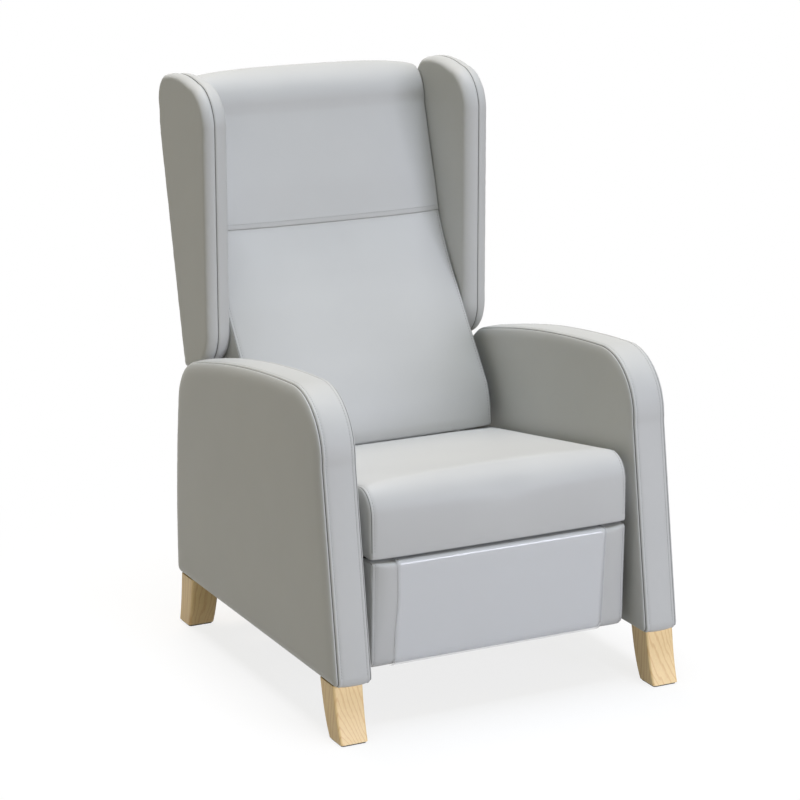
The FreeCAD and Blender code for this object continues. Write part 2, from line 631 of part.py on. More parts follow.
def seat_section(x, swell):
    """Side outline of the seat cushion, swollen forward and upward."""
    front = SEAT_FRONT - SEAT_FRONT_CROWN * swell
    top = SEAT_NOSE_Z + SEAT_TOP_CROWN * swell
    sole = (front + SEAT_LOW_RADIUS, SEAT_BASE)
    shin = (front, SEAT_BASE + SEAT_LOW_RADIUS)
    nose = (front, top - SEAT_NOSE_RADIUS)
    crest = (front + SEAT_NOSE_RADIUS, top)
    return side_wire(x, sole, [
        [bend(sole, shin, False), shin],
        [nose],
        [bend(nose, crest, True), crest],
        [(SEAT_REAR, SEAT_REAR_Z)],
        [(SEAT_REAR, SEAT_BASE)],
    ])


def across(section, half):
    """Loft of side sections from one flank to the other, fullest in the middle."""
    sections = [section(half * share, swell)
                for share, swell in zip(CUSHION_ACROSS_SHARES, CUSHION_CROWN_SHARES)]
    return Part.makeLoft(sections, True, False)


def make_seat_cushion():
    cushion = across(seat_section, SEAT_HALF)
    half = SEAT_FRAME_HALF + SEAT_FIT
    pocket = block(-half, half, SEAT_FRAME_FRONT - SEAT_FIT, SEAT_FRAME_REAR + SEAT_FIT,
                   SEAT_BASE - OVERRUN, SEAT_FRAME_TOP + STRAP + SEAT_FIT)
    save("seat_cushion", cushion.cut(pocket))


# Back: raked ladder frame, straps, two cushions, rear cover and hinge brackets
def rear_line(z, ahead=0.0):
    """Depth of the back's rear face at a height, or of a plane ahead of it."""
    return BACK_HEEL_AT + (z - BACK_BOTTOM) * RAKE - ahead


def raked(x0, x1, front, back, z0, z1):
    """Board that lies between two planes ahead of the rear face."""
    moves = [[(rear_line(z0, back), z0)], [(rear_line(z1, back), z1)], [(rear_line(z1, front), z1)]]
    return side_prism(x0, x1, (rear_line(z0, front), z0), moves)


FRAME_BACK = BACK_COVER
FRAME_FRONT = BACK_COVER + STILE


def spread(shares, height):
    """Lower edges of what stands in the back frame, as shares of the room left."""
    return [BACK_BOTTOM + (BACK_HEIGHT - height) * share for share in shares]


def make_back_frame():
    frame = raked(STILE_INNER, STILE_OUTER, FRAME_FRONT, FRAME_BACK, BACK_BOTTOM, BACK_TOP)
    frame = frame.fuse(mirrored(frame))
    for z in spread(BACK_RAIL_SHARES, BACK_RAIL_HEIGHT):
        frame = frame.fuse(raked(-STILE_INNER, STILE_INNER, FRAME_FRONT, FRAME_BACK,
                                 z, z + BACK_RAIL_HEIGHT))
    for depth, z in bracket_bolt_places():
        hole = rod(STILE_OUTER - BRACKET_BOLT_LENGTH, STILE_OUTER + OVERRUN, depth, z,
                   BRACKET_BOLT_RADIUS + FIT)
        frame = frame.cut(hole).cut(mirrored(hole))
    save("back_frame", frame.removeSplitter())
    straps = [raked(-STILE_INNER - STRAP_LAP, STILE_INNER + STRAP_LAP, FRAME_FRONT + STRAP,
                    FRAME_FRONT, z, z + BACK_STRAP_WIDTH)
              for z in spread(BACK_STRAP_SHARES, BACK_STRAP_WIDTH)]
    save("back_straps", Part.Compound(straps))


def lower_section(x, swell):
    """Side outline of the lower back cushion."""
    plane = FRAME_FRONT + STRAP + SEAT_FIT
    swell = BACK_CROWN * swell
    foot = BACK_UNDERSIDE
    seam = BACK_SEAM_Z - SEAT_FIT
    r = SEAM_DRAW
    front = BACK_FOOT_AT - swell
    nape = rear_line(BACK_SEAM_Z, NECK_THICK) - swell
    heel = (front + r, foot)
    shin = (front, foot + r)
    knee = (rear_line(LUMBAR_Z, LUMBAR_THICK) - swell, LUMBAR_Z)
    shoulder = (rear_line(SHOULDER_Z, SHOULDER_THICK) - swell, SHOULDER_Z)
    neck = (nape, seam - r)
    tuck = (nape + r, seam)
    lumbar = along(shin, knee, MIDDLE_SHARE)
    blade = along(shoulder, neck, MIDDLE_SHARE)
    return side_wire(x, (rear_line(foot, plane), foot), [
        [heel],
        [bend(heel, shin, False), shin],
        [(lumbar[0] - r / 2, lumbar[1]), knee],
        [shoulder],
        [(blade[0] + r / 2, blade[1] - r / 2), neck],
        [bend(neck, tuck, True), tuck],
        [(rear_line(seam, plane), seam)],
    ])


def head_section(x, swell):
    """Side outline of the head cushion, which laps over the top of the frame."""
    plane = FRAME_FRONT + STRAP + SEAT_FIT
    swell = BACK_CROWN * swell
    seam = BACK_SEAM_Z + SEAT_FIT
    lap = BACK_TOP + SEAT_FIT
    front = rear_line(BACK_SEAM_Z, NECK_THICK) - swell
    tuck = (front + SEAM_DRAW, seam)
    neck = (front, seam + SEAM_DRAW)
    brow_z = BACK_TOP - BROW_DROP
    brow = (rear_line(brow_z, HEAD_THICK) - swell, brow_z)
    nape = (rear_line(BACK_TOP), lap)
    crest = (along(brow, nape, CREST_SHARE)[0], BACK_CREST - BACK_CROWN + swell)
    return side_wire(x, (rear_line(seam, plane), seam), [
        [tuck],
        [bend(tuck, neck, False), neck],
        [brow],
        [bend(brow, crest, True), crest],
        [bend(crest, nape, False), nape],
        [(rear_line(lap, plane), lap)],
    ])


def make_back_cushions():
    save("back_cushion", across(lower_section, BACK_HALF))
    save("head_cushion", across(head_section, BACK_HALF))


def front_panel(half, z0, z1, corner):
    """Upright prism that faces the front, all four of its corners rounded."""
    k = corner * (1 - math.sqrt(0.5))
    corners = [(half, z0, -1, 1), (half, z1, -1, -1), (-half, z1, 1, -1), (-half, z0, 1, 1)]
    arcs = []
    for i, (x, z, sx, sz) in enumerate(corners):
        along_x = place(x + sx * corner, 0, z)
        along_z = place(x, 0, z + sz * corner)
        a, b = (along_x, along_z) if i % 2 == 0 else (along_z, along_x)
        arcs.append((a, place(x + sx * k, 0, z + sz * k), b))
    edges = []
    for i, (a, middle, b) in enumerate(arcs):
        edges.append(Part.Arc(a, middle, b).toShape())
        edges.append(Part.LineSegment(b, arcs[(i + 1) % len(arcs)][0]).toShape())
    return Part.Face(Part.Wire(edges)).extrude(Vector(0, 2 * BACK_REACH, 0))


def make_back_cover():
    slab = raked(-WING_HALF, WING_HALF, BACK_COVER - SEAT_FIT, 0.0, BACK_BOTTOM, BACK_TOP)
    wide = front_panel(WING_HALF, WING_BOTTOM, WING_CORNER_Z, COVER_CORNER)
    narrow = front_panel(STILE_OUTER, BACK_BOTTOM, BACK_TOP, COVER_CORNER / 2)
    save("back_cover", slab.common(wide.fuse(narrow)).removeSplitter())


def bracket_bolt_places():
    middle = (FRAME_FRONT + FRAME_BACK) / 2
    span = BRACKET_TOP - BRACKET_NECK
    return [(rear_line(z, middle), z) for z in (BRACKET_NECK, BRACKET_TOP - span / 4)]


def make_back_brackets():
    foot = BACK_BOTTOM + LUG / 2
    moves = [
        [(rear_line(foot, FRAME_BACK), foot)],
        [(rear_line(BRACKET_TOP, FRAME_BACK), BRACKET_TOP)],
        [(rear_line(BRACKET_TOP, FRAME_FRONT), BRACKET_TOP)],
        [(rear_line(BRACKET_NECK, FRAME_FRONT), BRACKET_NECK)],
        [(BACK_PIVOT_AT, BACK_PIVOT_Z + LUG)],
        [(BACK_PIVOT_AT - LUG, BACK_PIVOT_Z), (BACK_PIVOT_AT, BACK_PIVOT_Z - LUG)],
    ]
    plate = side_prism(UPPER_LINK_X, UPPER_LINK_X + PLATE, (BACK_PIVOT_AT, BACK_PIVOT_Z - LUG),
                       moves)
    spacer = side_prism(STILE_OUTER, UPPER_LINK_X, (rear_line(foot, FRAME_BACK), foot), [
        [(rear_line(BRACKET_TOP, FRAME_BACK), BRACKET_TOP)],
        [(rear_line(BRACKET_TOP, FRAME_FRONT), BRACKET_TOP)],
        [(rear_line(foot, FRAME_FRONT), foot)],
    ])
    plate = drilled(plate.fuse(spacer).removeSplitter(), UPPER_LINK_X, [BACK_PIVOT], PIN_RADIUS)
    plate = drilled(plate, UPPER_LINK_X, bracket_bolt_places(), BRACKET_BOLT_RADIUS)
    save_pair("back_bracket", plate)
    face = UPPER_LINK_X + PLATE
    bolts = []
    for depth, z in bracket_bolt_places():
        shank = rod(STILE_OUTER - BRACKET_BOLT_LENGTH, face, depth, z, BRACKET_BOLT_RADIUS)
        head = rod(face, face + PLATE_BOLT_HEAD, depth, z, PLATE_BOLT_HEAD_RADIUS)
        bolts.append(both(shank.fuse(head)))
    save("back_bracket_bolts", Part.Compound(bolts))


# Wings: plywood board on a batten, and two pads that meet in a seam on the nose
def wing_wire(x, by=0):
    """Outline with an upright nose and a raked rear edge."""
    def point(shares):
        z = WING_BOTTOM + WING_HEIGHT * shares[1]
        return (along((WING_FRONT, z), (rear_line(z, BACK_COVER), z), shares[0])[0], z)

    moves = [[point(shares) for shares in move] for move in WING_SIDE_SHARES]
    return inset(side_wire(x, moves[-1][-1], moves), by)


def wing_half(face_x, roundness):
    """Half of the wing from its seam to a face, drawn in towards that face."""
    sections = []
    for out, share in zip(WING_OUTER_INSET_SHARES, WING_OUTER_WIDTH_SHARES):
        x = WING_SEAM + (face_x - WING_SEAM) * share
        sections.append(wing_wire(x, roundness * out))
    return Part.makeLoft(sections, True, False)


def make_wings():
    board_x = WING_SEAM - WING_BOARD / 2
    board = prism(wing_wire(board_x, WING_PAD), WING_BOARD)
    batten = raked(STILE_OUTER, board_x, FRAME_FRONT, FRAME_BACK,
                   WING_BOTTOM + WING_PAD, WING_CORNER_Z)
    board = board.fuse(batten).removeSplitter()
    frame_zone = raked(WING_INNER - OVERRUN, WING_SEAM, FRAME_FRONT + SEAT_FIT, -OVERRUN,
                       WING_BOTTOM - OVERRUN, WING_TOP + OVERRUN)
    outer = wing_half(WING_HALF, WING_OUTER_ROUND).cut(board)
    inner = wing_half(WING_INNER, WING_INNER_ROUND).cut(board).cut(frame_zone)
    save_pair("wing_board", board)
    save_pair("wing_outer_pad", outer)
    save_pair("wing_inner_pad", inner)


# Footrest: links, tubes, board, pad and clear cover
def make_footrest_links():
    save_pair("footrest_upper_link", flat_link(UPPER_LINK_X, FOOT_PIVOT, ELBOW))
    save_pair("footrest_lower_link", flat_link(LOWER_LINK_X, ELBOW, FOOTREST_PIVOT))
    save("footrest_torque_tube", tube(UPPER_LINK_X, along(FOOT_PIVOT, ELBOW, MIDDLE_SHARE),
                                      TORQUE_TUBE_RADIUS, TUBE_WALL))
    middle = along(ELBOW, FOOTREST_PIVOT, MIDDLE_SHARE)
    save("footrest_tie_rod", rod(-LOWER_LINK_X, LOWER_LINK_X, middle[0], middle[1], TIE_ROD_RADIUS))
    save("footrest_elbow_pins", both(pin(LOWER_LINK_X - PIN_PLAY, UPPER_LINK_X + PLATE, ELBOW, -1)))


def footrest_section(x, swell, grown=0.0):
    """Side outline of the footrest pad, or of a skin that lies over it."""
    low_front = FOOTREST_LOW_AT - FOOTREST_LOW_CROWN * swell - grown
    high_front = FOOTREST_HIGH_AT - FOOTREST_HIGH_CROWN * swell - grown
    r = FOOTREST_LOW_ROUND + grown
    q = FOOTREST_TOP_ROUND + grown
    sole = (low_front + r, FOOTREST_BOTTOM - grown)
    shin = (low_front, FOOTREST_BOTTOM - grown + r)
    brow = (high_front, FOOTREST_TOP + grown - q)
    crest = (high_front + q, FOOTREST_TOP + grown)
    return side_wire(x, (FOOTREST_BACK, FOOTREST_BOTTOM - grown), [
        [sole],
        [bend(sole, shin, False), shin],
        [brow],
        [bend(brow, crest, True), crest],
        [(FOOTREST_BACK, FOOTREST_TOP + grown)],
    ])


def footrest_middle(half, grown):
    """Straight middle of the footrest pad, or of a skin that lies over it."""
    return prism(footrest_section(-half, 1.0, grown), 2 * half)


def make_footrest():
    board_half = FOOTREST_HALF - FOOTREST_WRAP
    near = FOOTREST_BACK - FOOTREST_BOARD
    low = FOOTREST_BOTTOM + FOOTREST_WRAP
    top = FOOTREST_TOP - FOOTREST_WRAP
    save("footrest_board", block(-board_half, board_half, near, FOOTREST_BACK, low, top))
    end = Part.makeLoft([footrest_section(FILM_HALF + FOOTREST_END * share, swell)
                         for share, swell in zip(FOOTREST_END_SHARES, FOOTREST_CROWN_SHARES)],
                        True, False)
    pad = footrest_middle(FILM_HALF, 0.0).fuse(end).fuse(mirrored(end)).removeSplitter()
    pocket = block(-board_half - SEAT_FIT, board_half + SEAT_FIT, near - SEAT_FIT,
                   FOOTREST_BACK + OVERRUN, low - SEAT_FIT, top + SEAT_FIT)
    save("footrest_pad", pad.cut(pocket))
    film = footrest_middle(FILM_HALF, SEAT_FIT + FILM).cut(footrest_middle(WIDTH, SEAT_FIT))
    save("footrest_film", film.common(block(-FILM_HALF, FILM_HALF, -OVERRUN, near, FLOOR, SEAT_BASE)))
    z0 = FOOTREST_PIVOT[1] - FOOT_BRACKET_DROP
    z1 = FOOTREST_PIVOT[1] + FOOT_BRACKET_RISE
    hub = FOOTREST_PIVOT[0]
    pivot_z = FOOTREST_PIVOT[1]
    ear = side_prism(FOOT_BRACKET_X, LOWER_LINK_X - LAYER_GAP, (FOOTREST_BACK, z0), [
        [(hub, pivot_z - LINK_HALF)],
        [(hub + LINK_HALF, pivot_z), (hub, pivot_z + LINK_HALF)],
        [(FOOTREST_BACK, z1)],
    ])
    flange = block(FOOT_BRACKET_X - FOOT_BRACKET_WIDTH, FOOT_BRACKET_X, FOOTREST_BACK,
                   FOOTREST_BACK + PLATE, z0, z1)
    bracket = drilled(ear.fuse(flange).removeSplitter(), FOOT_BRACKET_X, [FOOTREST_PIVOT],
                      PIN_RADIUS)
    save_pair("footrest_bracket", bracket)
    save("footrest_pins", both(pin(FOOT_BRACKET_X, LOWER_LINK_X + PLATE + PIN_PLAY,
                                   FOOTREST_PIVOT, 1)))


os.makedirs("parts", exist_ok=True)
make_legs()
make_arms()
make_base()
make_swings()
make_seat_rails()
make_seat_frame()
make_seat_cushion()
make_back_frame()
make_back_cushions()
make_back_cover()
make_back_brackets()
make_wings()
make_footrest_links()
make_footrest()
for name, spot in (("front base", FRONT_BASE_PIVOT), ("front seat", FRONT_SEAT_PIVOT),
                   ("rear base", REAR_BASE_PIVOT), ("rear seat", REAR_SEAT_PIVOT),
                   ("back", BACK_PIVOT), ("foot", FOOT_PIVOT), ("elbow", ELBOW),
                   ("footrest", FOOTREST_PIVOT)):
    print(name, "pivot Y", round(FRONT + spot[0], 4), "Z", round(spot[1], 4))
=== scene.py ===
import json
import math
import bmesh
import bpy
import numpy as np
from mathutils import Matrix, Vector, kdtree, noise


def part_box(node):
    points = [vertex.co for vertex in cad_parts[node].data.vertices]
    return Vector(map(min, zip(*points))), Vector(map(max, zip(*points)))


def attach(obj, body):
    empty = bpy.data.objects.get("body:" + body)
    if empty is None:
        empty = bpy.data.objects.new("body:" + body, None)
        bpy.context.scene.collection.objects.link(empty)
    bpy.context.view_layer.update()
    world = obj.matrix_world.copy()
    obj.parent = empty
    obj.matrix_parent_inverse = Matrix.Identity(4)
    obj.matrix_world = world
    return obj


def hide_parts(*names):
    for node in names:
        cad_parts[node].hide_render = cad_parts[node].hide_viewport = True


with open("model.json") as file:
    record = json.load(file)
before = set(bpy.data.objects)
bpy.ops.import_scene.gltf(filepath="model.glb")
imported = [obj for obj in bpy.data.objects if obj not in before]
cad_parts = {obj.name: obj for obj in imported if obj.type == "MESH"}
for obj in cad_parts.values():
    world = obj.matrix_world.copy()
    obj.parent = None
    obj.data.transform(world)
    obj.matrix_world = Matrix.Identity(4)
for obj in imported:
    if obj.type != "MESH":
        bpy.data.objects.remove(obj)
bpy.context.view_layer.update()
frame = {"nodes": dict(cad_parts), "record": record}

# Sizes of the chair, in metres: depths run back from the front of the feet
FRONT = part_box("leg_glides")[0].y - 0.0025
SIDES = ((1, "left"), (-1, "right"))
SOFT = "upholstery"
ARM_OUTER, ARM_INNER = 0.351, 0.288
ARM_FRONT, ARM_DEPTH, ARM_FLOOR, ARM_RISE = 0.011, 0.743, 0.107, 0.517
ARM_OUTER_CROWN, ARM_INNER_CROWN = 0.009, 0.006
SEAT_HALF, BACK_HALF, FILM_HALF, STILE_OUTER = 0.263, 0.256, 0.216, 0.262
WING_SEAM, WING_OUTER, WING_INNER = 0.287, 0.309, 0.258
LEAN = math.radians(13.0)
REAR_AT, REAR_Z, RAKE = 0.772, 0.335, math.tan(LEAN)
BACK_PLANE = 0.0368             # from the rear face to the back of its two cushions
LEVEL_SEAM, SEAM_GAP = 0.782, 0.0002
CUSHION_SWELL = 0.018           # how far the back's cushions stand forward in the middle
TURN = 1 - math.sqrt(0.5)       # where 45 degrees lies on a quarter round


def rear_line(z, ahead=0.0):
    """Depth of the leaning rear face at a height, or of a plane ahead of it."""
    return REAR_AT + (z - REAR_Z) * RAKE - ahead


# Lines and arcs sampled as points
def line(a, b, n):
    """n points from a towards b, without b."""
    a, b = np.array(a, float), np.array(b, float)
    return [a + (b - a) * i / n for i in range(n)]


def arc(a, m, b, n):
    """Points from a towards b, without b, on the circle through all three."""
    a, m, b = (np.array(p, float) for p in (a, m, b))
    ax, ay = m - a
    bx, by = b - a
    d = 2 * (ax * by - ay * bx)
    if abs(d) < 1e-12:
        return line(a, b, n)
    ux = (by * (ax * ax + ay * ay) - ay * (bx * bx + by * by)) / d
    uy = (ax * (bx * bx + by * by) - bx * (ax * ax + ay * ay)) / d
    c = a + np.array([ux, uy])
    r = math.hypot(ux, uy)
    t0, tm, t1 = (math.atan2(*(p - c)[::-1]) for p in (a, m, b))
    sweep = (t1 - t0) % (2 * math.pi)
    if (tm - t0) % (2 * math.pi) > sweep:
        sweep -= 2 * math.pi
    return [c + r * np.array([math.cos(t0 + sweep * i / n), math.sin(t0 + sweep * i / n)])
            for i in range(n)]


def bend(a, b, upright_first, n):
    """Quarter round from a to b that starts upright or level."""
    near, far = (TURN, 1 - TURN) if upright_first else (1 - TURN, TURN)
    m = (a[0] + (b[0] - a[0]) * near, a[1] + (b[1] - a[1]) * far)
    return arc(a, m, b, n)


def evenly(points, step):
    """The closed line again with points at even distances."""
    p = np.array(points + [points[0]])
    s = np.concatenate([[0], np.cumsum(np.linalg.norm(np.diff(p, axis=0), axis=1))])
    n = max(8, int(round(s[-1] / step)))
    at = np.linspace(0, s[-1], n, endpoint=False)
    return np.stack([np.interp(at, s, p[:, 0]), np.interp(at, s, p[:, 1])], 1)


def quarter(share):
    """Height of a quarter round, from 0 at its edge to 1 where the share reaches 1."""
    return math.sqrt(1 - (1 - min(1.0, share)) ** 2)


def normals_of(loop):
    """Outward unit normals of a closed line, smoothed a little at corners."""
    tangent = np.roll(loop, -2, 0) - np.roll(loop, 2, 0)
    normal = np.stack([tangent[:, 1], -tangent[:, 0]], 1)
    normal /= np.linalg.norm(normal, axis=1)[:, None]
    x, y = loop[:, 0], loop[:, 1]
    area = np.sum(x * np.roll(y, -1) - np.roll(x, -1) * y)
    return normal if area > 0 else -normal


def traced(stretches, point=lambda a, b: (a, b), step=0.006):
    """Closed line from stretches of two points (straight) or three (an arc)."""
    points = []
    for stretch in stretches:
        stretch = [point(*p) for p in stretch]
        points += arc(*stretch, 40) if len(stretch) == 3 else line(*stretch, 60)
    return evenly(points, step)


# Meshes
def mesh_object(name, verts, faces, body, materials=(), smooth=True):
    """New object, which keeps the name of the body that it will ride on."""
    mesh = bpy.data.meshes.new(name)
    mesh.from_pydata([tuple(v) for v in verts], [], faces)
    mesh.validate()
    mesh.update()
    piece = bpy.data.objects.new(name, mesh)
    bpy.context.scene.collection.objects.link(piece)
    for material in materials:
        mesh.materials.append(material)
    if smooth:
        mesh.polygons.foreach_set("use_smooth", [True] * len(mesh.polygons))
    piece["on"] = body
    return piece


def turned_out(piece):
    """Winds the faces so that they point outwards."""
    bm = bmesh.new()
    bm.from_mesh(piece.data)
    bmesh.ops.recalc_face_normals(bm, faces=bm.faces)
    bm.to_mesh(piece.data)
    bm.free()


def ring_faces(a, b, n, closed=True):
    """Quads between two rings whose first vertices are a and b."""
    last = n if closed else n - 1
    return [(a + i, a + (i + 1) % n, b + (i + 1) % n, b + i) for i in range(last)]


def wobble(x, y, z, scale, seed):
    """Smooth noise between about -1 and 1."""
    return noise.noise(Vector((x * scale + seed, y * scale - seed, z * scale + 2 * seed)))


# Levels of a panel's rings from its seam to its middle. How far from the seam the gathers and
# the puff reach, and where the slack begins; how high the drawn-in edge reaches; and the slack.
LEVELS = [0, .0007, .002, .0045, .008, .013, .02, .029, .04, .053, .07, .09, .115, .145, .18, .22,
          .27, .33, .4, .48, .57, .67, .78, .9]
GATHER_REACH, PUFF_REACH, SLACK_START, EDGE_RISE = 0.014, 0.02, 0.05, 0.0016
SLACK = 0.0009


def nearest(tree, loop, q):
    """Distance from a point to a closed line, and the vertex nearest to it."""
    i = tree.find((q[0], q[1], 0))[1]
    best = 1e9
    for a, b in ((loop[i - 1], loop[i]), (loop[i], loop[(i + 1) % len(loop)])):
        run = b - a
        t = min(1.0, max(0.0, float((q - a) @ run) / float(run @ run)))
        best = min(best, float(np.linalg.norm(q - a - run * t)))
    return best, i


def panel(name, loop, centre, place, height, body, back, draw, pucker=0.0005, seed=0.0, puff=0.0):
    """Closed pad over a flat outline: height gives its rise at a distance from the seam, and
    place puts a point of the outline at a rise. back is how deep the pad reaches behind the
    outline, draw how far the seam is drawn in, pucker the depth of the gathers, and puff how
    far the pad stands out beyond the seam."""
    full = height(1.0, np.array(centre))
    n = len(loop)
    tree = kdtree.KDTree(n)
    for i, p in enumerate(loop):
        tree.insert((p[0], p[1], 0), i)
    tree.balance()
    centre = np.array(centre)
    out = normals_of(loop)
    verts = []
    for ring in (loop - out * 0.009, loop - out * max(0.0024, draw)):
        verts += [place(p[0], p[1], -back) for p in ring]
    for level in LEVELS:
        for i, p in enumerate(loop):
            q = p + (centre - p) * level
            away, at = nearest(tree, loop, q)
            rise = height(away, loop[at])
            gather = wobble(loop[i][0], loop[i][1], 0, 70, seed) * math.exp(-away / GATHER_REACH)
            slack = wobble(q[0], q[1], 0, 9, seed + 3) * (1 - math.exp(-away / SLACK_START))
            share = min(1.0, rise / full)
            q = q + out[i] * (puff * 4 * share * (1 - share) * math.exp(-away / PUFF_REACH)
                              - draw * math.exp(-(rise / EDGE_RISE) ** 2))
            rise += pucker * gather * min(1, away / 0.004) + SLACK * slack
            verts.append(place(q[0], q[1], rise))
    faces = []
    for k in range(len(LEVELS) + 1):
        faces += ring_faces(k * n, (k + 1) * n, n)
    top = (len(LEVELS) + 1) * n
    verts.append(place(centre[0], centre[1], height(1.0, centre)))
    faces += [(top + i, top + (i + 1) % n, len(verts) - 1) for i in range(n)]
    middle = np.mean(np.array(verts[:n]), axis=0)
    verts.append(tuple(middle))
    faces += [((i + 1) % n, i, len(verts) - 1) for i in range(n)]
    piece = mesh_object(name, verts, faces, body)
    turned_out(piece)
    return piece


def cord(name, path, radius, body, closed=True, sides=6):
    """Thin round cord along a line of points, such as the dark cord of painted shade at the bottom
    of a seam's groove.
    """
    p = np.array(path)
    run = np.roll(p, -1, 0) - np.roll(p, 1, 0)
    if not closed:
        run[0], run[-1] = p[1] - p[0], p[-1] - p[-2]
    run /= np.linalg.norm(run, axis=1)[:, None] + 1e-12
    aside = np.array((1.0, 0, 0)) if abs(run[:, 0]).mean() < 0.5 else np.array((0, 0, 1.0))
    u = np.cross(run, aside)
    u /= np.linalg.norm(u, axis=1)[:, None] + 1e-12
    w = np.cross(run, u)
    verts = []
    for k in range(sides):
        t = 2 * math.pi * k / sides
        verts += list(p + radius * (u * math.cos(t) + w * math.sin(t)))
    n = len(p)
    faces = []
    for k in range(sides):
        faces += ring_faces(k * n, (k + 1) % sides * n, n, closed)
    piece = mesh_object(name, verts, faces, body)
    turned_out(piece)
    return piece


def stitches(name, path, body, pitch=0.0056, length=0.0036, thick=0.0007):
    """Row of single stitches along a line of points that lie on the cover."""
    p = np.array(path)
    s = np.concatenate([[0], np.cumsum(np.linalg.norm(np.diff(p, axis=0), axis=1))])
    verts, faces = [], []
    count = int(s[-1] / pitch)
    for i in range(count):
        ends = [np.array([np.interp((i + 0.5) * pitch + side * length / 2, s, p[:, k])
                          for k in range(3)]) for side in (-1, 1)]
        run = ends[1] - ends[0]
        run /= np.linalg.norm(run) + 1e-9
        u = np.cross(run, (0.31, 0.2, 0.93))
        u /= np.linalg.norm(u)
        w = np.cross(run, u)
        base = len(verts)
        verts.append(ends[0])
        for share in (0.22, 0.78):
            middle = ends[0] + (ends[1] - ends[0]) * share
            verts += [middle + thick * (u * math.cos(t) + w * math.sin(t))
                      for t in (0, math.pi / 2, math.pi, 3 * math.pi / 2)]
        verts.append(ends[1])
        for k in range(4):
            a, b = base + 1 + k, base + 1 + (k + 1) % 4
            faces += [(base, b, a), (a, b, b + 4, a + 4), (base + 9, a + 4, b + 4)]
    return mesh_object(name, verts, faces, body)


# Materials
def put(tree, kind, inputs=None, **settings):
    """New node with its settings, and with values or sockets at its inputs."""
    node = tree.nodes.new(kind)
    for key, value in settings.items():
        setattr(node, key, value)
    for key, value in (inputs or {}).items():
        if isinstance(value, bpy.types.NodeSocket):
            tree.links.new(value, node.inputs[key])
        else:
            node.inputs[key].default_value = value
    return node


def material(name, colour, rough, metallic=0.0):
    """New material, its node tree, its shader and the place on the object."""
    made = bpy.data.materials.new(name)
    made.use_nodes = True
    tree = made.node_tree
    shader = tree.nodes["Principled BSDF"]
    shader.inputs["Base Color"].default_value = (*colour, 1)
    shader.inputs["Roughness"].default_value = rough
    shader.inputs["Metallic"].default_value = metallic
    return made, tree, shader, put(tree, "ShaderNodeTexCoord").outputs["Object"]


def noise_at(tree, where, scale, detail=2.0, roughness=0.5):
    """Outputs of a noise: Fac is grey, Color has a value for each direction."""
    return put(tree, "ShaderNodeTexNoise", {"Vector": where, "Scale": scale, "Detail": detail,
                                            "Roughness": roughness}).outputs


def ramp(tree, value, stops):
    """Colour that follows a value through stops of place and colour."""
    node = put(tree, "ShaderNodeValToRGB", {"Fac": value})
    while len(node.color_ramp.elements) < len(stops):
        node.color_ramp.elements.new(0.5)
    for element, (at, colour) in zip(node.color_ramp.elements, stops):
        element.position = at
        element.color = (*colour, 1)
    return node.outputs["Color"]


def spread(tree, value, low, high):
    """Value from 0 to 1 laid out between low and high."""
    node = put(tree, "ShaderNodeMapRange", {"Value": value, "To Min": low, "To Max": high})
    return node.outputs["Result"]


def bump(tree, height, strength, distance, under=None):
    """Normal with a relief, over another relief if there is one."""
    node = put(tree, "ShaderNodeBump",
               {"Height": height, "Strength": strength, "Distance": distance})
    if under:
        tree.links.new(under, node.inputs["Normal"])
    return node.outputs["Normal"]


def wire(tree, sockets, node):
    """Links sockets to a node's inputs."""
    for key, socket in sockets.items():
        tree.links.new(socket, node.inputs[key])


def leather():
    """Smooth coated cloth: fine pebbled grain, slight cloudiness and shallow unevenness."""
    made, tree, shader, where = material("coated_cloth", (0.54, 0.545, 0.53), 0.5)
    cloud = noise_at(tree, where, 5.0, detail=3.0)["Fac"]
    grain = put(tree, "ShaderNodeTexVoronoi", {"Vector": where, "Scale": 850.0})
    pores = noise_at(tree, where, 420.0, detail=4.0, roughness=0.6)["Fac"]
    folds = noise_at(tree, where, 16.0)["Fac"]
    relief = bump(tree, grain.outputs["Distance"], 0.16, 0.0003)
    relief = bump(tree, pores, 0.14, 0.0004, relief)
    relief = bump(tree, folds, 0.10, 0.0035, relief)
    tone = ramp(tree, cloud, [(0.3, (0.528, 0.534, 0.522)), (0.7, (0.553, 0.559, 0.545))])
    wire(tree, {"Base Color": tone, "Roughness": spread(tree, cloud, 0.46, 0.56),
                "Normal": relief}, shader)
    shader.inputs["Specular IOR Level"].default_value = 0.24
    return made


def thread(name, dark, light):
    """Dull thread, painted seam shade or lining that also paints shade, mottled by its twist."""
    made, tree, shader, where = material(name, light, 0.6)
    twist = noise_at(tree, where, 900.0)["Fac"]
    wire(tree, {"Base Color": ramp(tree, twist, [(0.35, dark), (0.65, light)])}, shader)
    return made


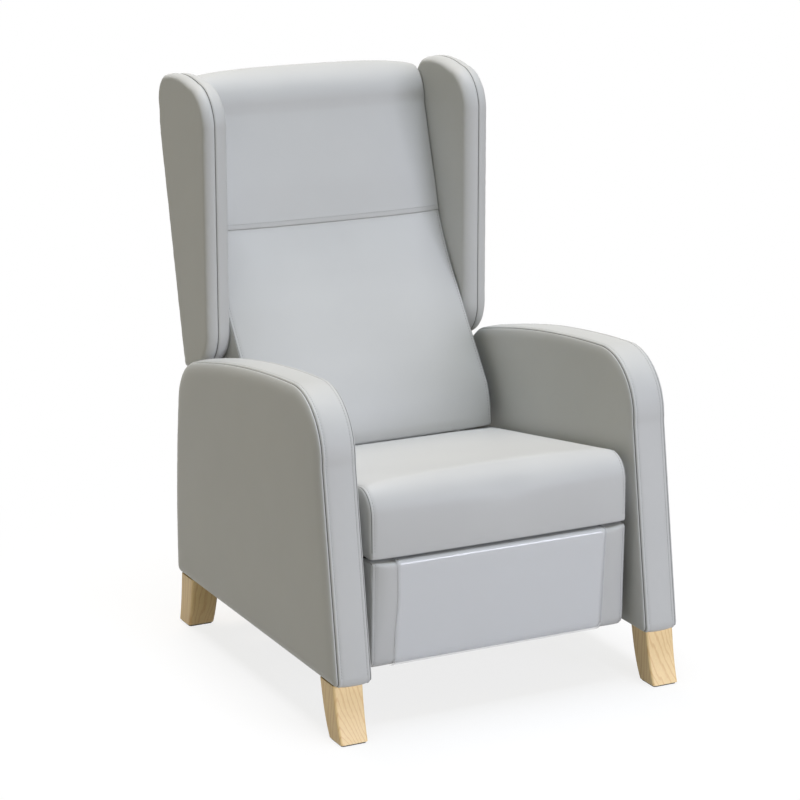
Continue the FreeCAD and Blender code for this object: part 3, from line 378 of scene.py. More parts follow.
def wood(name, light, dark, ring_scale, contrast=0.35, rough=0.42, axis=2):
    """Faint growth rings and fine pores, both stretched along the grain's axis."""
    made, tree, shader, where = material(name, light, rough)
    grown, fine = ([share if k == axis else 1.0 for k in range(3)] for share in (0.12, 0.03))
    grown = put(tree, "ShaderNodeMapping", {"Vector": where, "Scale": grown}).outputs["Vector"]
    fine = put(tree, "ShaderNodeMapping", {"Vector": where, "Scale": fine}).outputs["Vector"]
    sway = noise_at(tree, grown, 22.0)["Color"]
    bent = put(tree, "ShaderNodeVectorMath", {0: sway, 1: (0.03, 0.03, 0.03), 2: grown},
               operation="MULTIPLY_ADD")
    rings = put(tree, "ShaderNodeTexWave",
                {"Vector": bent.outputs["Vector"], "Scale": ring_scale, "Distortion": 1.5,
                 "Detail": 2.0, "Detail Scale": 2.0}, wave_type="BANDS", bands_direction="DIAGONAL")
    pores = noise_at(tree, fine, 700.0)["Fac"]
    grain = ramp(tree, rings.outputs["Fac"], [(0.0, dark), (contrast, light), (1.0, light)])
    streak = ramp(tree, pores, [(0.3, (0.93, 0.91, 0.88)), (0.7, (1, 1, 1))])
    tint = put(tree, "ShaderNodeMix", {"Factor": 1.0, 6: grain, 7: streak}, data_type="RGBA",
               blend_type="MULTIPLY")
    wire(tree, {"Base Color": tint.outputs[2], "Normal": bump(tree, pores, 0.12, 0.0003)}, shader)
    return made


def metal(name, colour, rough, metallic, relief):
    """Paint, plating or plastic with fine specks."""
    made, tree, shader, where = material(name, colour, rough, metallic)
    speck = noise_at(tree, where, 260.0, detail=3.0)["Fac"]
    wire(tree, {"Roughness": spread(tree, speck, rough - 0.08, rough + 0.12),
                "Normal": bump(tree, speck, relief, 0.0002)}, shader)
    return made


def woven():
    """Elastic webbing: a fine brick pattern stands for its weave."""
    made, tree, shader, where = material("webbing", (0.30, 0.26, 0.20), 0.85)
    weave = put(tree, "ShaderNodeTexBrick",
                {"Vector": where, "Scale": 260.0, "Color1": (0.34, 0.30, 0.23, 1),
                 "Color2": (0.24, 0.21, 0.16, 1), "Mortar": (0.10, 0.09, 0.07, 1)}).outputs
    wire(tree, {"Base Color": weave["Color"], "Normal": bump(tree, weave["Fac"], 0.5, 0.0004)},
         shader)
    return made


def film():
    """Clear plastic film, slightly uneven, with a gloss of its own. Its whitish colour is partly
    the film's milky look and partly painted sheen for its reflection of the white surroundings.
    """
    made, tree, shader, where = material("clear_film", (0.89, 0.91, 0.925), 0.16)
    pull = noise_at(tree, where, 22.0)["Fac"]
    wire(tree, {"Normal": bump(tree, pull, 0.10, 0.002)}, shader)
    for key, value in (("Alpha", 0.38), ("Specular IOR Level", 1.0), ("Coat Weight", 1.0),
                       ("Coat Roughness", 0.10)):
        shader.inputs[key].default_value = value
    return made


LEATHER, FILM, WEBBING = leather(), film(), woven()
THREAD = thread("thread", (0.33, 0.33, 0.32), (0.44, 0.44, 0.43))
# Dark grey cords laid in the seams' grooves: painted shade for the seam lines.
PAINTED_SEAM_SHADE = thread("painted_shade_in_seams", (0.10, 0.10, 0.09), (0.16, 0.16, 0.15))
# Near-black lining: partly a real dust cover, partly painted shade for the gap above the footrest.
LINING_AND_GAP_SHADE = thread("black_lining_and_gap_shade", (0.010, 0.010, 0.011), (0.020, 0.020, 0.021))
PINE = wood("pine", (0.955, 0.715, 0.37), (0.85, 0.585, 0.28), 60.0)
BIRCH = [wood("birch_" + "xyz"[k], (0.70, 0.57, 0.40), (0.62, 0.49, 0.33), 18.0, 0.3, 0.62, k)
         for k in range(3)]
BLACK = metal("black_paint", (0.022, 0.022, 0.024), 0.42, 0.0, 0.10)
ZINC = metal("zinc_plate", (0.60, 0.60, 0.58), 0.34, 1.0, 0.06)
GLIDE = metal("dark_plastic", (0.03, 0.03, 0.03), 0.55, 0.0, 0.05)
CAD_MATERIALS = {"leg_wood": PINE, "painted_steel": BLACK, "webbing": WEBBING, SOFT: LEATHER,
                 "plated_steel": ZINC, "glide_plastic": GLIDE, "clear_film": FILM}


def grain_of(name):
    """Birch whose grain runs along the longest side of a CAD node."""
    low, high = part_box(name)
    return BIRCH[max(range(3), key=lambda k: high[k] - low[k])]


for part in frame["record"]["subparts"]:
    node = frame["nodes"][part["node"]]
    node.data.materials.clear()
    node.data.materials.append(CAD_MATERIALS.get(part["material_slot"]) or grain_of(part["node"]))


def dress(piece, node):
    """Puts a soft piece on its body in place of a CAD node."""
    piece.data.materials.append(LEATHER)
    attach(piece, piece["on"])
    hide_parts(node)


def dress_thread(piece, coat=THREAD):
    """Puts stitches, or the dark cord of painted shade in a seam, on their body."""
    piece.data.materials.append(coat)
    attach(piece, piece["on"])


# Arms: the outline in shares of its depth and its height
def arm_point(a, b):
    """Depth and height of a point given in shares."""
    return (ARM_FRONT + ARM_DEPTH * a, ARM_FLOOR + ARM_RISE * b)


ARM_SHARES = [
    [(0.018, 0.0), (0.0055, 0.0065), (0.0025, 0.022)],
    [(0.0025, 0.022), (0.083, 0.760)],
    [(0.083, 0.760), (0.131, 0.934), (0.245, 1.0)],
    [(0.245, 1.0), (0.572, 0.956), (0.873, 0.872)],
    [(0.873, 0.872), (0.941, 0.809), (0.973, 0.698)],
    [(0.973, 0.698), (0.996, 0.373), (1.0, 0.022)],
    [(1.0, 0.022), (0.995, 0.0065), (0.982, 0.0)],
    [(0.982, 0.0), (0.018, 0.0)],
]


def rounded(crown, width, extra=0.0015):
    """Rise of a pad that rolls over from its seam within a width."""
    def height(away, at):
        return crown * quarter(away / width) + extra * min(1, away / 0.12)
    return height


# Shares across half a band with their rises, and the share where the stitches lie in a groove
FLANK = [(1, -.010), (1, -.0030), (.99, -.0012), (.97, .0002), (.94, .0010), (.90, .0014),
         (.85, .0013), (.80, .0006), (.75, .0013), (.62, .0019), (.4, .0025), (.2, .0028)]
STITCHED = .80


def band(name, loop, side, body):
    """Padded strip round an arm between its two seams."""
    n = len(loop)
    out = normals_of(loop)
    half = (ARM_OUTER - ARM_INNER) / 2
    middle = (ARM_OUTER + ARM_INNER) / 2
    across = [(-share, rise) for share, rise in FLANK] + [(0, .0029)] + FLANK[::-1]
    verts = []
    for share, rise in across:
        x = middle + half * share
        for i, p in enumerate(loop):
            ripple = 0.0004 * wobble(p[0], p[1], share, 55, side * 4.0) * (1 - abs(share) ** 3)
            sway = 0.0007 * wobble(p[0], p[1], share * 0.1, 8, side * 2.0)
            q = p + out[i] * (rise + (ripple + sway) * (0 if abs(share) == 1 else 1))
            verts.append((side * x, FRONT + q[0], q[1]))
    faces = []
    for k in range(len(across)):
        faces += ring_faces(k * n, ((k + 1) % len(across)) * n, n)
    piece = mesh_object(name, verts, faces, body)
    turned_out(piece)
    rows = {}
    for share in (-STITCHED, STITCHED):
        k = [a[0] for a in across].index(share)
        rows[share] = [verts[k * n + i] for i in range(n)]
    return piece, rows, out


def make_arm(side, word):
    """Outer pad, inner pad and the band between them, with stitches and dark cords of painted shade
    in the seams.
    """
    loop = traced(ARM_SHARES, arm_point)
    centre = arm_point(0.5, 0.5)

    def outer(u, v, h):
        return (side * (ARM_OUTER + h), FRONT + u, v)

    def inner(u, v, h):
        return (side * (ARM_INNER - h), FRONT + u, v)

    pad = panel("arm_outer_" + word, loop, centre, outer, rounded(ARM_OUTER_CROWN, 0.026), "base",
                back=0.002, seed=side * 1.5, draw=0.0026)
    dress(pad, "arm_outer_pad_" + word)
    pad = panel("arm_inner_" + word, loop, centre, inner, rounded(ARM_INNER_CROWN, 0.022, 0.0),
                "base", back=0.002, seed=side * 7.5, draw=0.0030)
    dress(pad, "arm_inner_pad_" + word)
    strip, rows, out = band("arm_strip_" + word, loop, side, "base")
    dress(strip, "arm_band_" + word)
    upper = [i for i, p in enumerate(loop) if p[1] > ARM_FLOOR + 0.012]
    start = next(i for i in upper if (i - 1) not in upper)
    order = [(start + k) % len(loop) for k in range(len(upper))]
    for share, row in rows.items():
        path = [(row[i][0], row[i][1] + out[i][0] * 0.0003, row[i][2] + out[i][1] * 0.0003)
                for i in order]
        edge = "outer" if share > 0 else "inner"
        dress_thread(stitches(f"arm_thread_{word}_{edge}", path, "base"))
        seam_x = ARM_OUTER if share > 0 else ARM_INNER
        # Dark cord in the seam's groove: painted shade.
        shade_line = [(side * seam_x, FRONT + q[0], q[1]) for q in loop - out * 0.0020]
        dress_thread(cord(f"arm_seam_{word}_{edge}", shade_line, 0.0011, "base"), PAINTED_SEAM_SHADE)


for side, word in SIDES:
    make_arm(side, word)


# Wings: the outline in shares from the rear face to the nose and from bottom to top
WING_NOSE_AT, WING_LOW, WING_TOP = 0.685, 0.508, 1.092
WING_SHARES = [
    [(0.0, 0.163), (0.0, 0.857)],
    [(0.0, 0.857), (0.085, 0.938), (0.300, 0.985)],
    [(0.300, 0.985), (0.560, 1.0), (0.800, 0.988)],
    [(0.800, 0.988), (0.905, 0.950), (0.962, 0.868)],
    [(0.962, 0.868), (0.990, 0.815), (1.0, 0.760)],
    [(1.0, 0.760), (1.0, 0.0)],
    [(1.0, 0.0), (0.481, 0.036)],
    [(0.481, 0.036), (0.142, 0.077), (0.0, 0.163)],
]


def wing_loop(behind):
    """Outline of a wing whose rear edge stops a little ahead of the rear face."""
    def point(a, b):
        z = WING_LOW + (WING_TOP - WING_LOW) * b
        return (WING_NOSE_AT + (rear_line(z, behind) - WING_NOSE_AT) * a, z)

    return traced(WING_SHARES, point, 0.005)


def wing_rise(width, roll, rear_roll):
    """Broad roll over the nose that tightens over the top to the rear edge."""
    def height(away, at):
        rear = rear_line(at[1])
        ahead = (rear - at[0]) / (rear - WING_NOSE_AT)
        here = rear_roll + (roll - rear_roll) * min(1.0, max(0.0, ahead - 0.08) / 0.85) ** 2
        return width * quarter(away / here)
    return height


def make_wing(side, word):
    """Outer and inner pad that meet in one seam, which has a dark cord of painted shade and a row
    of stitches.
    """
    centre = (0.79, 0.82)

    def outer(u, v, h):
        return (side * (WING_SEAM + h), FRONT + u, v)

    def inner(u, v, h):
        return (side * (WING_SEAM - h), FRONT + u, v)

    loop = wing_loop(0.0)
    pad = panel("wing_outer_" + word, loop, centre, outer,
                wing_rise(WING_OUTER - WING_SEAM, 0.012, 0.008), "back", back=0.0, pucker=0.0008,
                seed=side * 2.2, draw=0.0012, puff=0.0008)
    dress(pad, "wing_outer_pad_" + word)
    loop = wing_loop(0.010)
    pad = panel("wing_inner_" + word, loop, centre, inner,
                wing_rise(WING_SEAM - WING_INNER, 0.015, 0.010), "back", back=0.0, pucker=0.0008,
                seed=side * 5.1, draw=0.0012, puff=0.001)
    dress(pad, "wing_inner_pad_" + word)
    path = []
    out = normals_of(loop)
    for i, p in enumerate(loop):
        if p[0] < 0.885 and p[1] > 0.56:
            q = p - out[i] * 0.0012
            path.append((side * (WING_SEAM - 0.0056), FRONT + q[0], q[1]))
    cut = max(range(1, len(path)), key=lambda i: math.dist(path[i - 1], path[i]))
    path = path[cut:] + path[:cut]
    dress_thread(stitches("wing_thread_" + word, path, "back"))
    # Dark cord in the seam's groove: painted shade.
    shade_line = [(side * WING_SEAM, FRONT + q[0], q[1]) for q in loop - out * 0.0011]
    dress_thread(cord("wing_seam_" + word, shade_line, 0.0007, "back"), PAINTED_SEAM_SHADE)


for side, word in SIDES:
    make_wing(side, word)


# Cushions: side sections carried across, fullest in the middle. A profile's s is its fullness,
# from 0 at the side seams to 1, and its lines keep their numbers of points.
def fullness(x):
    """Fullness across a back cushion at a share x of its half width."""
    x = abs(x)
    return (1 - x ** 3) * 0.75 + (1 - x ** 12) * 0.25


def flat_fullness(x):
    """Flatter across the middle, for the seat."""
    return 0.3 * (1 - x * x) + 0.7 * (1 - abs(x) ** 9)


def seat_profile(s):
    """Side section of the seat cushion, with a rounded waterfall front."""
    front, top = 0.057 - 0.005 * s, 0.444 + 0.011 * s
    base, low, nose_r, rear = 0.3188, 0.005, 0.046, 0.587
    sole, shin = (front + low, base), (front, base + low)
    nose, crest = (front + 0.002, top - nose_r), (front + nose_r, top)
    back = (rear, 0.370)
    return (bend(sole, shin, False, 3) + line(shin, nose, 8) + bend(nose, crest, True, 10)
            + line(crest, back, 54) + line(back, (rear, base), 8) + line((rear, base), sole, 50))


def lower_profile(s):
    """Side section of the lower back cushion: from the knee its front leans back to the
    shoulder, and from there up to the level seam."""
    swell, foot, seam, r = CUSHION_SWELL * s, 0.379, LEVEL_SEAM - SEAM_GAP, 0.0014
    heel, shin = (0.566 - swell + 0.007, foot), (0.566 - swell, foot + 0.007)
    shoulder = (0.714 - swell, 0.641)
    lift = 0.38 * s                 # share of the way from the knee to the shoulder
    knee = (0.584 - swell + 0.130 * lift, 0.461 + 0.180 * lift)
    neck, tuck = (0.799 - swell, seam - r), (0.799 - swell + r, seam)
    bulge = 0.0031 * s
    lumbar = ((shin[0] + knee[0]) / 2 - 0.0035 - bulge, (shin[1] + knee[1]) / 2 + bulge)
    blade = ((shoulder[0] + neck[0]) / 2 + 0.0035, (shoulder[1] + neck[1]) / 2 - 0.0035)
    base, top = (rear_line(foot, BACK_PLANE), foot), (rear_line(seam, BACK_PLANE), seam)
    return (line(base, heel, 16) + bend(heel, shin, False, 3) + arc(shin, lumbar, knee, 8)
            + line(knee, shoulder, 22) + arc(shoulder, blade, neck, 18) + bend(neck, tuck, True, 3)
            + line(tuck, top, 8) + line(top, base, 40))


def head_profile(s):
    """Side section of the head cushion, which rolls over the top rail of the back frame."""
    swell, seam, lap, r = CUSHION_SWELL * s, LEVEL_SEAM + SEAM_GAP, 1.0523, 0.0014
    tuck, neck = (0.799 - swell + r, seam), (0.799 - swell, seam + r)
    brow, nape = (0.867 - swell, 1.004), (rear_line(1.052), lap)
    crest = (brow[0] + (nape[0] - brow[0]) * 0.66, 1.067 + swell)
    base, shelf = (rear_line(seam, BACK_PLANE), seam), (rear_line(lap, BACK_PLANE), lap)
    return (line(base, tuck, 8) + bend(tuck, neck, False, 3) + line(neck, brow, 26)
            + bend(brow, crest, True, 8) + bend(crest, nape, False, 7)
            + line(nape, shelf, 5) + line(shelf, base, 26))


def foot_profile(s, grown=0.0):
    """Side section of the footrest's pad, or of a sheet that lies at a distance on it."""
    low_front, high_front = 0.061 - 0.003 * s - grown, 0.058 - 0.012 * s - grown
    base, top, back = 0.109 - grown, 0.313 + grown, 0.096
    r, q = 0.024 + grown, 0.006 + grown
    sole, shin = (low_front + r, base), (low_front, base + r)
    brow, crest = (high_front, top - q), (high_front + q, top)
    return (line((back, base), sole, 3) + bend(sole, shin, False, 7) + line(shin, brow, 22)
            + bend(brow, crest, True, 5) + line(crest, (back, top), 5)
            + line((back, top), (back, base), 22))


def foot_fullness(x):
    """Flat across the film, then drawn in towards the side seams."""
    past = max(0.0, abs(x) * SEAT_HALF - FILM_HALF) / (SEAT_HALF - FILM_HALF)
    return 1 - past ** 3.8


def columns(half):
    """Places across a cushion, close together near its seams."""
    edge = [0, .0012, .0030, .0055, .008, .0115, .016, .022, .030]
    inner = np.linspace(0.039, half, 27)
    right = [half - e for e in edge] + [half - e for e in inner]
    return [-x for x in right] + right[::-1][1:]


# Levels of the rings on a cushion's side faces, from the seam to the middle
CAP_LEVELS = [.01, .03, .06, .11, .18, .3, .5, .75]


def cushion(name, profile, half, body, full=fullness, bulge=0.0):
    """Closed form whose side faces bulge out from the seams round them."""
    xs = columns(half)
    sections = [np.array(profile(full(x / half))) for x in xs]
    n = len(sections[0])
    verts = [(x, FRONT + p[0], p[1]) for x, section in zip(xs, sections) for p in section]
    faces = []
    for k in range(len(xs) - 1):
        faces += ring_faces(k * n, (k + 1) * n, n)
    for side, first in ((-1, 0), (1, (len(xs) - 1) * n)):
        section = sections[0]
        centre = section.mean(0)
        previous = first
        for level in CAP_LEVELS:
            start = len(verts)
            x = side * (half + bulge * quarter(level / 0.45))
            verts += [(x, FRONT + q[0], q[1])
                      for q in (p + (centre - p) * level for p in section)]
            faces += ring_faces(previous, start, n)
            previous = start
        verts.append((side * (half + bulge), FRONT + centre[0], centre[1]))
        faces += [(previous + i, previous + (i + 1) % n, len(verts) - 1) for i in range(n)]
    piece = mesh_object(name, verts, faces, body)
    piece["ring"] = n
    piece["across"] = len(xs)
    turned_out(piece)
    return piece


def smoothed(piece, move, held, rounds=14):
    """The movement evened out over each vertex's neighbours, so that the cover stays taut."""
    edges = np.array([e.vertices[:] for e in piece.data.edges])
    count = np.bincount(edges.ravel(), minlength=len(move))[:, None]
    for step in range(rounds):
        total = np.zeros_like(move)
        np.add.at(total, edges[:, 0], move[edges[:, 1]])
        np.add.at(total, edges[:, 1], move[edges[:, 0]])
        move = 0.4 * move + 0.6 * total / count
        move[held] = 0
    return move


CLOTH = {"quality": 6, "mass": 0.35, "tension_stiffness": 25, "compression_stiffness": 12,
         "shear_stiffness": 8, "bending_stiffness": 1.5, "air_damping": 4, "use_pressure": True,
         "uniform_pressure_force": 4.0, "shrink_min": -0.006, "pin_stiffness": 1.0}
FRAMES = 20


def swell(covers):
    """Cloth under air pressure fills each piece out between the vertices that it is held by.
    A cover is a piece, those vertices, and how far a vertex may move."""
    scene = bpy.context.scene
    before = []
    for piece, held, cap in covers:
        before.append(np.array([v.co for v in piece.data.vertices]))
        piece.vertex_groups.new(name="held").add(held, 1.0, "REPLACE")
        cloth = piece.modifiers.new("cloth", "CLOTH")
        for key, value in CLOTH.items():
            setattr(cloth.settings, key, value)
        cloth.settings.effector_weights.gravity = 0.0
        cloth.settings.vertex_group_mass = "held"
        cloth.collision_settings.use_collision = False
        cloth.point_cache.frame_start = 1
        cloth.point_cache.frame_end = FRAMES
    for step in range(1, FRAMES + 1):
        scene.frame_set(step)
    graph = bpy.context.evaluated_depsgraph_get()
    for (piece, held, cap), start in zip(covers, before):
        after = np.array([v.co for v in piece.evaluated_get(graph).data.vertices])
        move = smoothed(piece, after - start, held)
        size = np.linalg.norm(move, axis=1)
        limit = np.array([max(1e-5, cap(co)) for co in start])
        scale = np.where(size > 1e-9, limit * np.tanh(size / limit) / np.maximum(size, 1e-9), 0)
        piece.modifiers.remove(piece.modifiers["cloth"])
        piece.data.vertices.foreach_set("co", (start + move * scale[:, None]).ravel())
        piece.data.update()
    scene.frame_set(1)


def held_by(piece, on_frame):
    """Vertices of the side seams, and those that a test finds on the frame."""
    seams = (0, piece["across"] - 1)
    return [i for i, v in enumerate(piece.data.vertices)
            if i // piece["ring"] in seams or on_frame(v.co)]


def on_seat_frame(co):
    """Underside and rear of the seat cushion."""
    return co.z < 0.3203 or co.y > FRONT + 0.570


def on_back_frame(co):
    """Rear of the back's cushions, their edges at the level seam, and the underside."""
    return (co.y > FRONT + rear_line(co.z, BACK_PLANE + 0.0006)
            or abs(co.z - LEVEL_SEAM) < 0.0018 or co.z < 0.3795)


def on_foot_board(co):
    """Rear of the footrest's pad."""
    return co.y > FRONT + 0.0945


def up_to(limit):
    """The same limit everywhere."""
    return lambda co: limit


def from_level_seam(limit):
    """Little movement close to the level seam, so that it stays tight."""
    return lambda co: limit * min(1.0, abs(co[2] - LEVEL_SEAM) / 0.08)


seat = cushion("seat_cushion_cover", seat_profile, SEAT_HALF, "seat", flat_fullness, 0.004)
lower = cushion("lumbar_cushion_cover", lower_profile, BACK_HALF, "back")
head = cushion("head_cushion_cover", head_profile, BACK_HALF, "back")
foot = cushion("footrest_cover", foot_profile, SEAT_HALF, "footrest", foot_fullness, 0.001)
swell([(seat, held_by(seat, on_seat_frame), up_to(0.005)),
       (lower, held_by(lower, on_back_frame), from_level_seam(0.006)),
       (head, held_by(head, on_back_frame), from_level_seam(0.005)),
       (foot, held_by(foot, on_foot_board), up_to(0.001))])


STITCH_INSET = 0.0055


def edge_threads(piece, word, half, rows, body):
    """Stitching in a shallow groove along both side seams, and a dark cord of painted shade in
    each seam's groove. rows are the points of the profile that both run along."""
    xs = columns(half)
    n = piece["ring"]
    mesh = piece.data
    normals = [v.normal.copy() for v in mesh.vertices]
    at = min(range(len(xs)), key=lambda k: abs(xs[k] - (half - STITCH_INSET)))
    for side, name in SIDES:
        column, edge = (at, len(xs) - 1) if side > 0 else (len(xs) - 1 - at, 0)
        # The seam's dark cord is painted shade.
        path, shade_line = [], []
        for r in range(n):
            i, j = column * n + r, edge * n + r
            mesh.vertices[i].co -= normals[i] * 0.0007
            mesh.vertices[j].co -= normals[j] * 0.0012
            if r in rows:
                path.append(tuple(mesh.vertices[i].co + normals[i] * 0.0003))
                shade_line.append(tuple(mesh.vertices[j].co + normals[j] * 0.0001))
        dress_thread(stitches(f"{word}_thread_{name}", path, body))
        dress_thread(cord(f"{word}_seam_{name}", shade_line, 0.0007, body, closed=False), PAINTED_SEAM_SHADE)


edge_threads(seat, "seat", SEAT_HALF, range(4, 60), "seat")
edge_threads(foot, "footrest", SEAT_HALF, range(5, 38), "footrest")
edge_threads(lower, "lumbar", BACK_HALF, range(18, 70), "back")
dress(seat, "seat_cushion")
dress(lower, "back_cushion")
dress(head, "head_cushion")
dress(foot, "footrest_pad")
SEAM_ROW = 12                   # point of the head cushion's profile just above the level seam
seam = [head.data.vertices[k * head["ring"] + SEAM_ROW] for k in range(2, head["across"] - 2)]
dress_thread(stitches("back_thread", [tuple(v.co + v.normal * 0.0003) for v in seam], "back"))


def make_lining_and_gap_shade():
    """Black lining that hangs a little below the front board of the seat frame: partly a real dust
    cover, and partly painted shade that darkens the gap above the footrest.
    """
    steps, half, top = 60, 0.2605, 0.3204
    near, far, turn = 0.0982, 0.0996, 0.0008      # its two faces and the roundness of its hem
    verts, faces = [], []
    for i in range(steps + 1):
        x = half * (2 * i / steps - 1)
        low = 0.3015 + 0.0008 * wobble(x, 0, 0, 14, 3.0)
        sway = 0.0005 * wobble(x, 0, 0, 9, 8.0)
        verts += [(x, FRONT + depth + sway, z) for depth, z in
                  ((near, top), (near, low + turn), (near + 0.0004, low), (far - 0.0004, low),
                   (far, low + turn), (far, top))]
    for i in range(steps):
        faces += ring_faces(6 * i, 6 * (i + 1), 6)
    faces += [tuple(range(6)), tuple(range(6 * steps + 5, 6 * steps - 1, -1))]
    piece = mesh_object("seat_lining_and_gap_shade", verts, faces, "seat", [LINING_AND_GAP_SHADE])
    turned_out(piece)
    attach(piece, "seat")


make_lining_and_gap_shade()


# Clear film over the middle of the footrest: its edges, the points of the cover's profile that
# it lies on, and the distances of its outer and inner skin from the cover
FILM_LEFT, FILM_RIGHT, FILM_SPAN = -0.220, 0.215, slice(4, 42)
FILM_SKINS = (0.0022, 0.0018)


def make_film():
    """Thin closed sheet whose left edge is drawn in a little halfway up."""
    steps = 44
    verts, faces = [], []
    for i in range(steps + 1):
        x = FILM_LEFT + (FILM_RIGHT - FILM_LEFT) * (i / steps)
        for grown in FILM_SKINS:
            skin = foot_profile(foot_fullness(x / SEAT_HALF), grown)[FILM_SPAN]
            for p in skin:
                waist = 0.0035 * math.exp(-((p[1] - 0.245) / 0.05) ** 2)
                drawn = waist * max(0.0, 1 - (x - FILM_LEFT) / 0.06)
                verts.append((x + drawn, FRONT + p[0], p[1]))
    n = len(skin)
    for k in range(steps):
        a, b = 2 * n * k, 2 * n * (k + 1)
        faces += ring_faces(a, b, n, False)
        faces += [f[::-1] for f in ring_faces(a + n, b + n, n, False)]
        faces += [(a, a + n, b + n, b), (a + n - 1, b + n - 1, b + 2 * n - 1, a + 2 * n - 1)]
    for a in (0, 2 * n * steps):
        faces += ring_faces(a, a + n, n, False)
    piece = mesh_object("film_sheet", verts, faces, "footrest")
    turned_out(piece)
    piece.data.materials.append(FILM)
    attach(piece, "footrest")
    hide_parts("footrest_film")


make_film()


def make_cover():
    """Rear cover: narrow between the arms, wide between the wings."""
    wide, narrow, low, high = WING_SEAM - 0.0015, STILE_OUTER, 0.508, 1.025
    foot, top, r = 0.335, 1.052, 0.012
    half = [
        [(narrow - r, foot), (narrow - r * TURN, foot + r * TURN), (narrow, foot + r)],
        [(narrow, foot + r), (narrow, low - r)],
        [(narrow, low - r), (narrow + r * TURN, low - r * TURN), (narrow + r, low)],
        [(narrow + r, low), (wide - r, low)],
        [(wide - r, low), (wide - r * TURN, low + r * TURN), (wide, low + r)],
        [(wide, low + r), (wide, high)],
        [(wide, high), (wide - 0.003, high + 0.009), (wide - 0.010, high + 0.014)],
        [(wide - 0.010, high + 0.014), (narrow + 0.002, top - 0.004), (narrow - r, top)],
    ]
    other = [[(-x, z) for x, z in stretch[::-1]] for stretch in half[::-1]]
    loop = traced([[(-narrow + r, foot), (narrow - r, foot)]] + half
                  + [[(narrow - r, top), (-narrow + r, top)]] + other, step=0.008)

    def place(u, v, h):
        return (u, FRONT + rear_line(v, 0.006) + h * math.cos(LEAN), v - h * math.sin(LEAN))

    def height(away, at):
        return 0.005 * quarter(away / 0.008) + 0.002 * min(1, away / 0.15)

    piece = panel("rear_cover", loop, (0.0, 0.78), place, height, "back", back=0.0035,
                  pucker=0.0006, draw=0.002)
    dress(piece, "back_cover")


make_cover()


# Floor, lights and camera
def seen_directly(tree):
    """1 for rays that reach the camera straight, off a mirror or through something clear."""
    path = put(tree, "ShaderNodeLightPath").outputs
    seen = put(tree, "ShaderNodeMath", {0: path["Is Camera Ray"], 1: path["Is Glossy Ray"]},
               operation="ADD")
    return put(tree, "ShaderNodeMath", {0: seen.outputs[0], 1: path["Is Transmission Ray"]},
               operation="ADD", use_clamp=True).outputs[0]


def by_ray(tree, seen, other, direct):
    """Colour that differs between the rays seen directly and all others."""
    node = put(tree, "ShaderNodeMix", {"Factor": seen, 6: (*other, 1), 7: (*direct, 1)},
               data_type="RGBA")
    return node.outputs[2]


def make_floor():
    """White floor that keeps the shadow near the chair and fades to plain white around it."""
    made, tree, shader, where = material("floor_white", (0.95, 0.95, 0.95), 0.9)
    seen = seen_directly(tree)
    wire(tree, {"Base Color": by_ray(tree, seen, (0.44, 0.44, 0.44), (1, 1, 1))}, shader)
    shader.inputs["Specular IOR Level"].default_value = 0.0
    away = put(tree, "ShaderNodeVectorMath", {0: where}, operation="LENGTH")
    fade = put(tree, "ShaderNodeMapRange",
               {"Value": away.outputs["Value"], "From Min": 0.35, "From Max": 1.25,
                "To Min": 0.80, "To Max": 1.0},
               interpolation_type="SMOOTHSTEP")
    both = put(tree, "ShaderNodeMath", {0: seen, 1: fade.outputs["Result"]},
               operation="MULTIPLY")
    glow = put(tree, "ShaderNodeEmission", {"Strength": 1.0})
    mix = put(tree, "ShaderNodeMixShader",
              {"Fac": both.outputs[0], 1: shader.outputs[0], 2: glow.outputs[0]})
    wire(tree, {"Surface": mix.outputs[0]}, tree.nodes["Material Output"])
    size, level = 30.0, -0.0002
    corners = [(-size, -size, level), (size, -size, level), (size, size, level),
               (-size, size, level)]
    mesh_object("floor", corners, [(0, 1, 2, 3)], "", [made], False)


def make_world():
    """White where it is seen, and a dim warm grey as light."""
    world = bpy.data.worlds.new("studio")
    world.use_nodes = True
    bpy.context.scene.world = world
    tree = world.node_tree
    wire(tree, {"Color": by_ray(tree, seen_directly(tree), (0.15, 0.14, 0.05), (1, 1, 1))},
         tree.nodes["Background"])


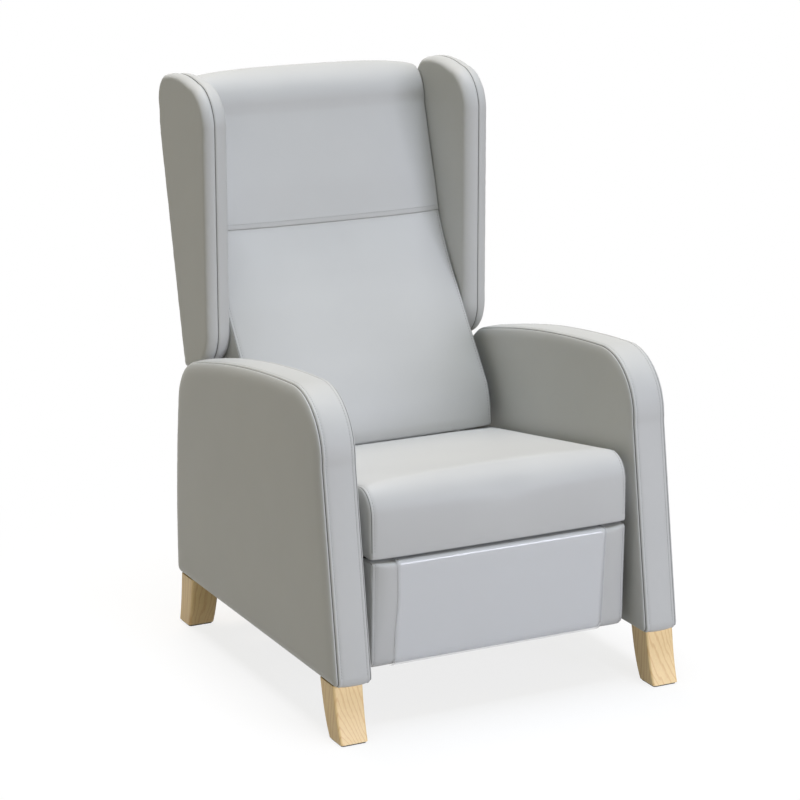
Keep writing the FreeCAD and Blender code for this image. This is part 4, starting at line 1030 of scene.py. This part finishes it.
def lamp(name, place, aim, size, power, colour):
    """Rectangular lamp that looks from its place at a point."""
    data = bpy.data.lights.new(name, "AREA")
    data.shape = "RECTANGLE"
    data.size, data.size_y = size
    data.energy = power
    data.color = colour
    made = bpy.data.objects.new(name, data)
    bpy.context.scene.collection.objects.link(made)
    made.location = place
    made.rotation_mode = "QUATERNION"
    made.rotation_quaternion = (Vector(aim) - Vector(place)).to_track_quat("-Z", "Y")


make_floor()
make_world()
lamp("top_box", (0.0, 0.0, 12.0), (0, 0, 0.5), (5.7, 5.7), 1060, (0.77, 0.84, 0.98))
lamp("rear_box", (0.0, 5.2, 11.5), (0, 0, 0.5), (6.0, 5.0), 670, (1.0, 0.86, 0.74))
lamp("front_box", (1.9, -6.6, 1.8), (0, 0, 0.6), (4.4, 2.4), 278, (0.83, 0.845, 1.0))
lamp("left_box", (-6.5, -0.5, 1.0), (0, 0, 0.6), (3.0, 2.0), 13, (1.0, 0.75, 0.75))

# The camera solved from the photograph: focal length and centre in pixels of its 800
FRAME, FOCAL, CENTRE_X, CENTRE_Y = 800, 2683.7, 403.99, 394.95
AZIMUTH, ELEVATION, DISTANCE = math.radians(-26.84), math.radians(14.92), 5.18565
SENSOR = 36.0


def make_camera():
    """Camera that looks at the middle of the chair."""
    scene = bpy.context.scene
    scene.view_settings.view_transform = "Standard"
    data = bpy.data.cameras.new("camera")
    data.sensor_width = SENSOR
    data.lens = FOCAL / FRAME * SENSOR
    data.shift_x = -(CENTRE_X - FRAME / 2) / FRAME
    data.shift_y = (CENTRE_Y - FRAME / 2) / FRAME
    camera = bpy.data.objects.new("camera", data)
    scene.collection.objects.link(camera)
    back = Vector((math.sin(AZIMUTH) * math.cos(ELEVATION),
                   -math.cos(AZIMUTH) * math.cos(ELEVATION), math.sin(ELEVATION)))
    camera.location = Vector((0, FRONT + 0.451, 0.5)) + back * DISTANCE
    camera.rotation_mode = "QUATERNION"
    camera.rotation_quaternion = (-back).to_track_quat("-Z", "Y")
    scene.camera = camera


make_camera()
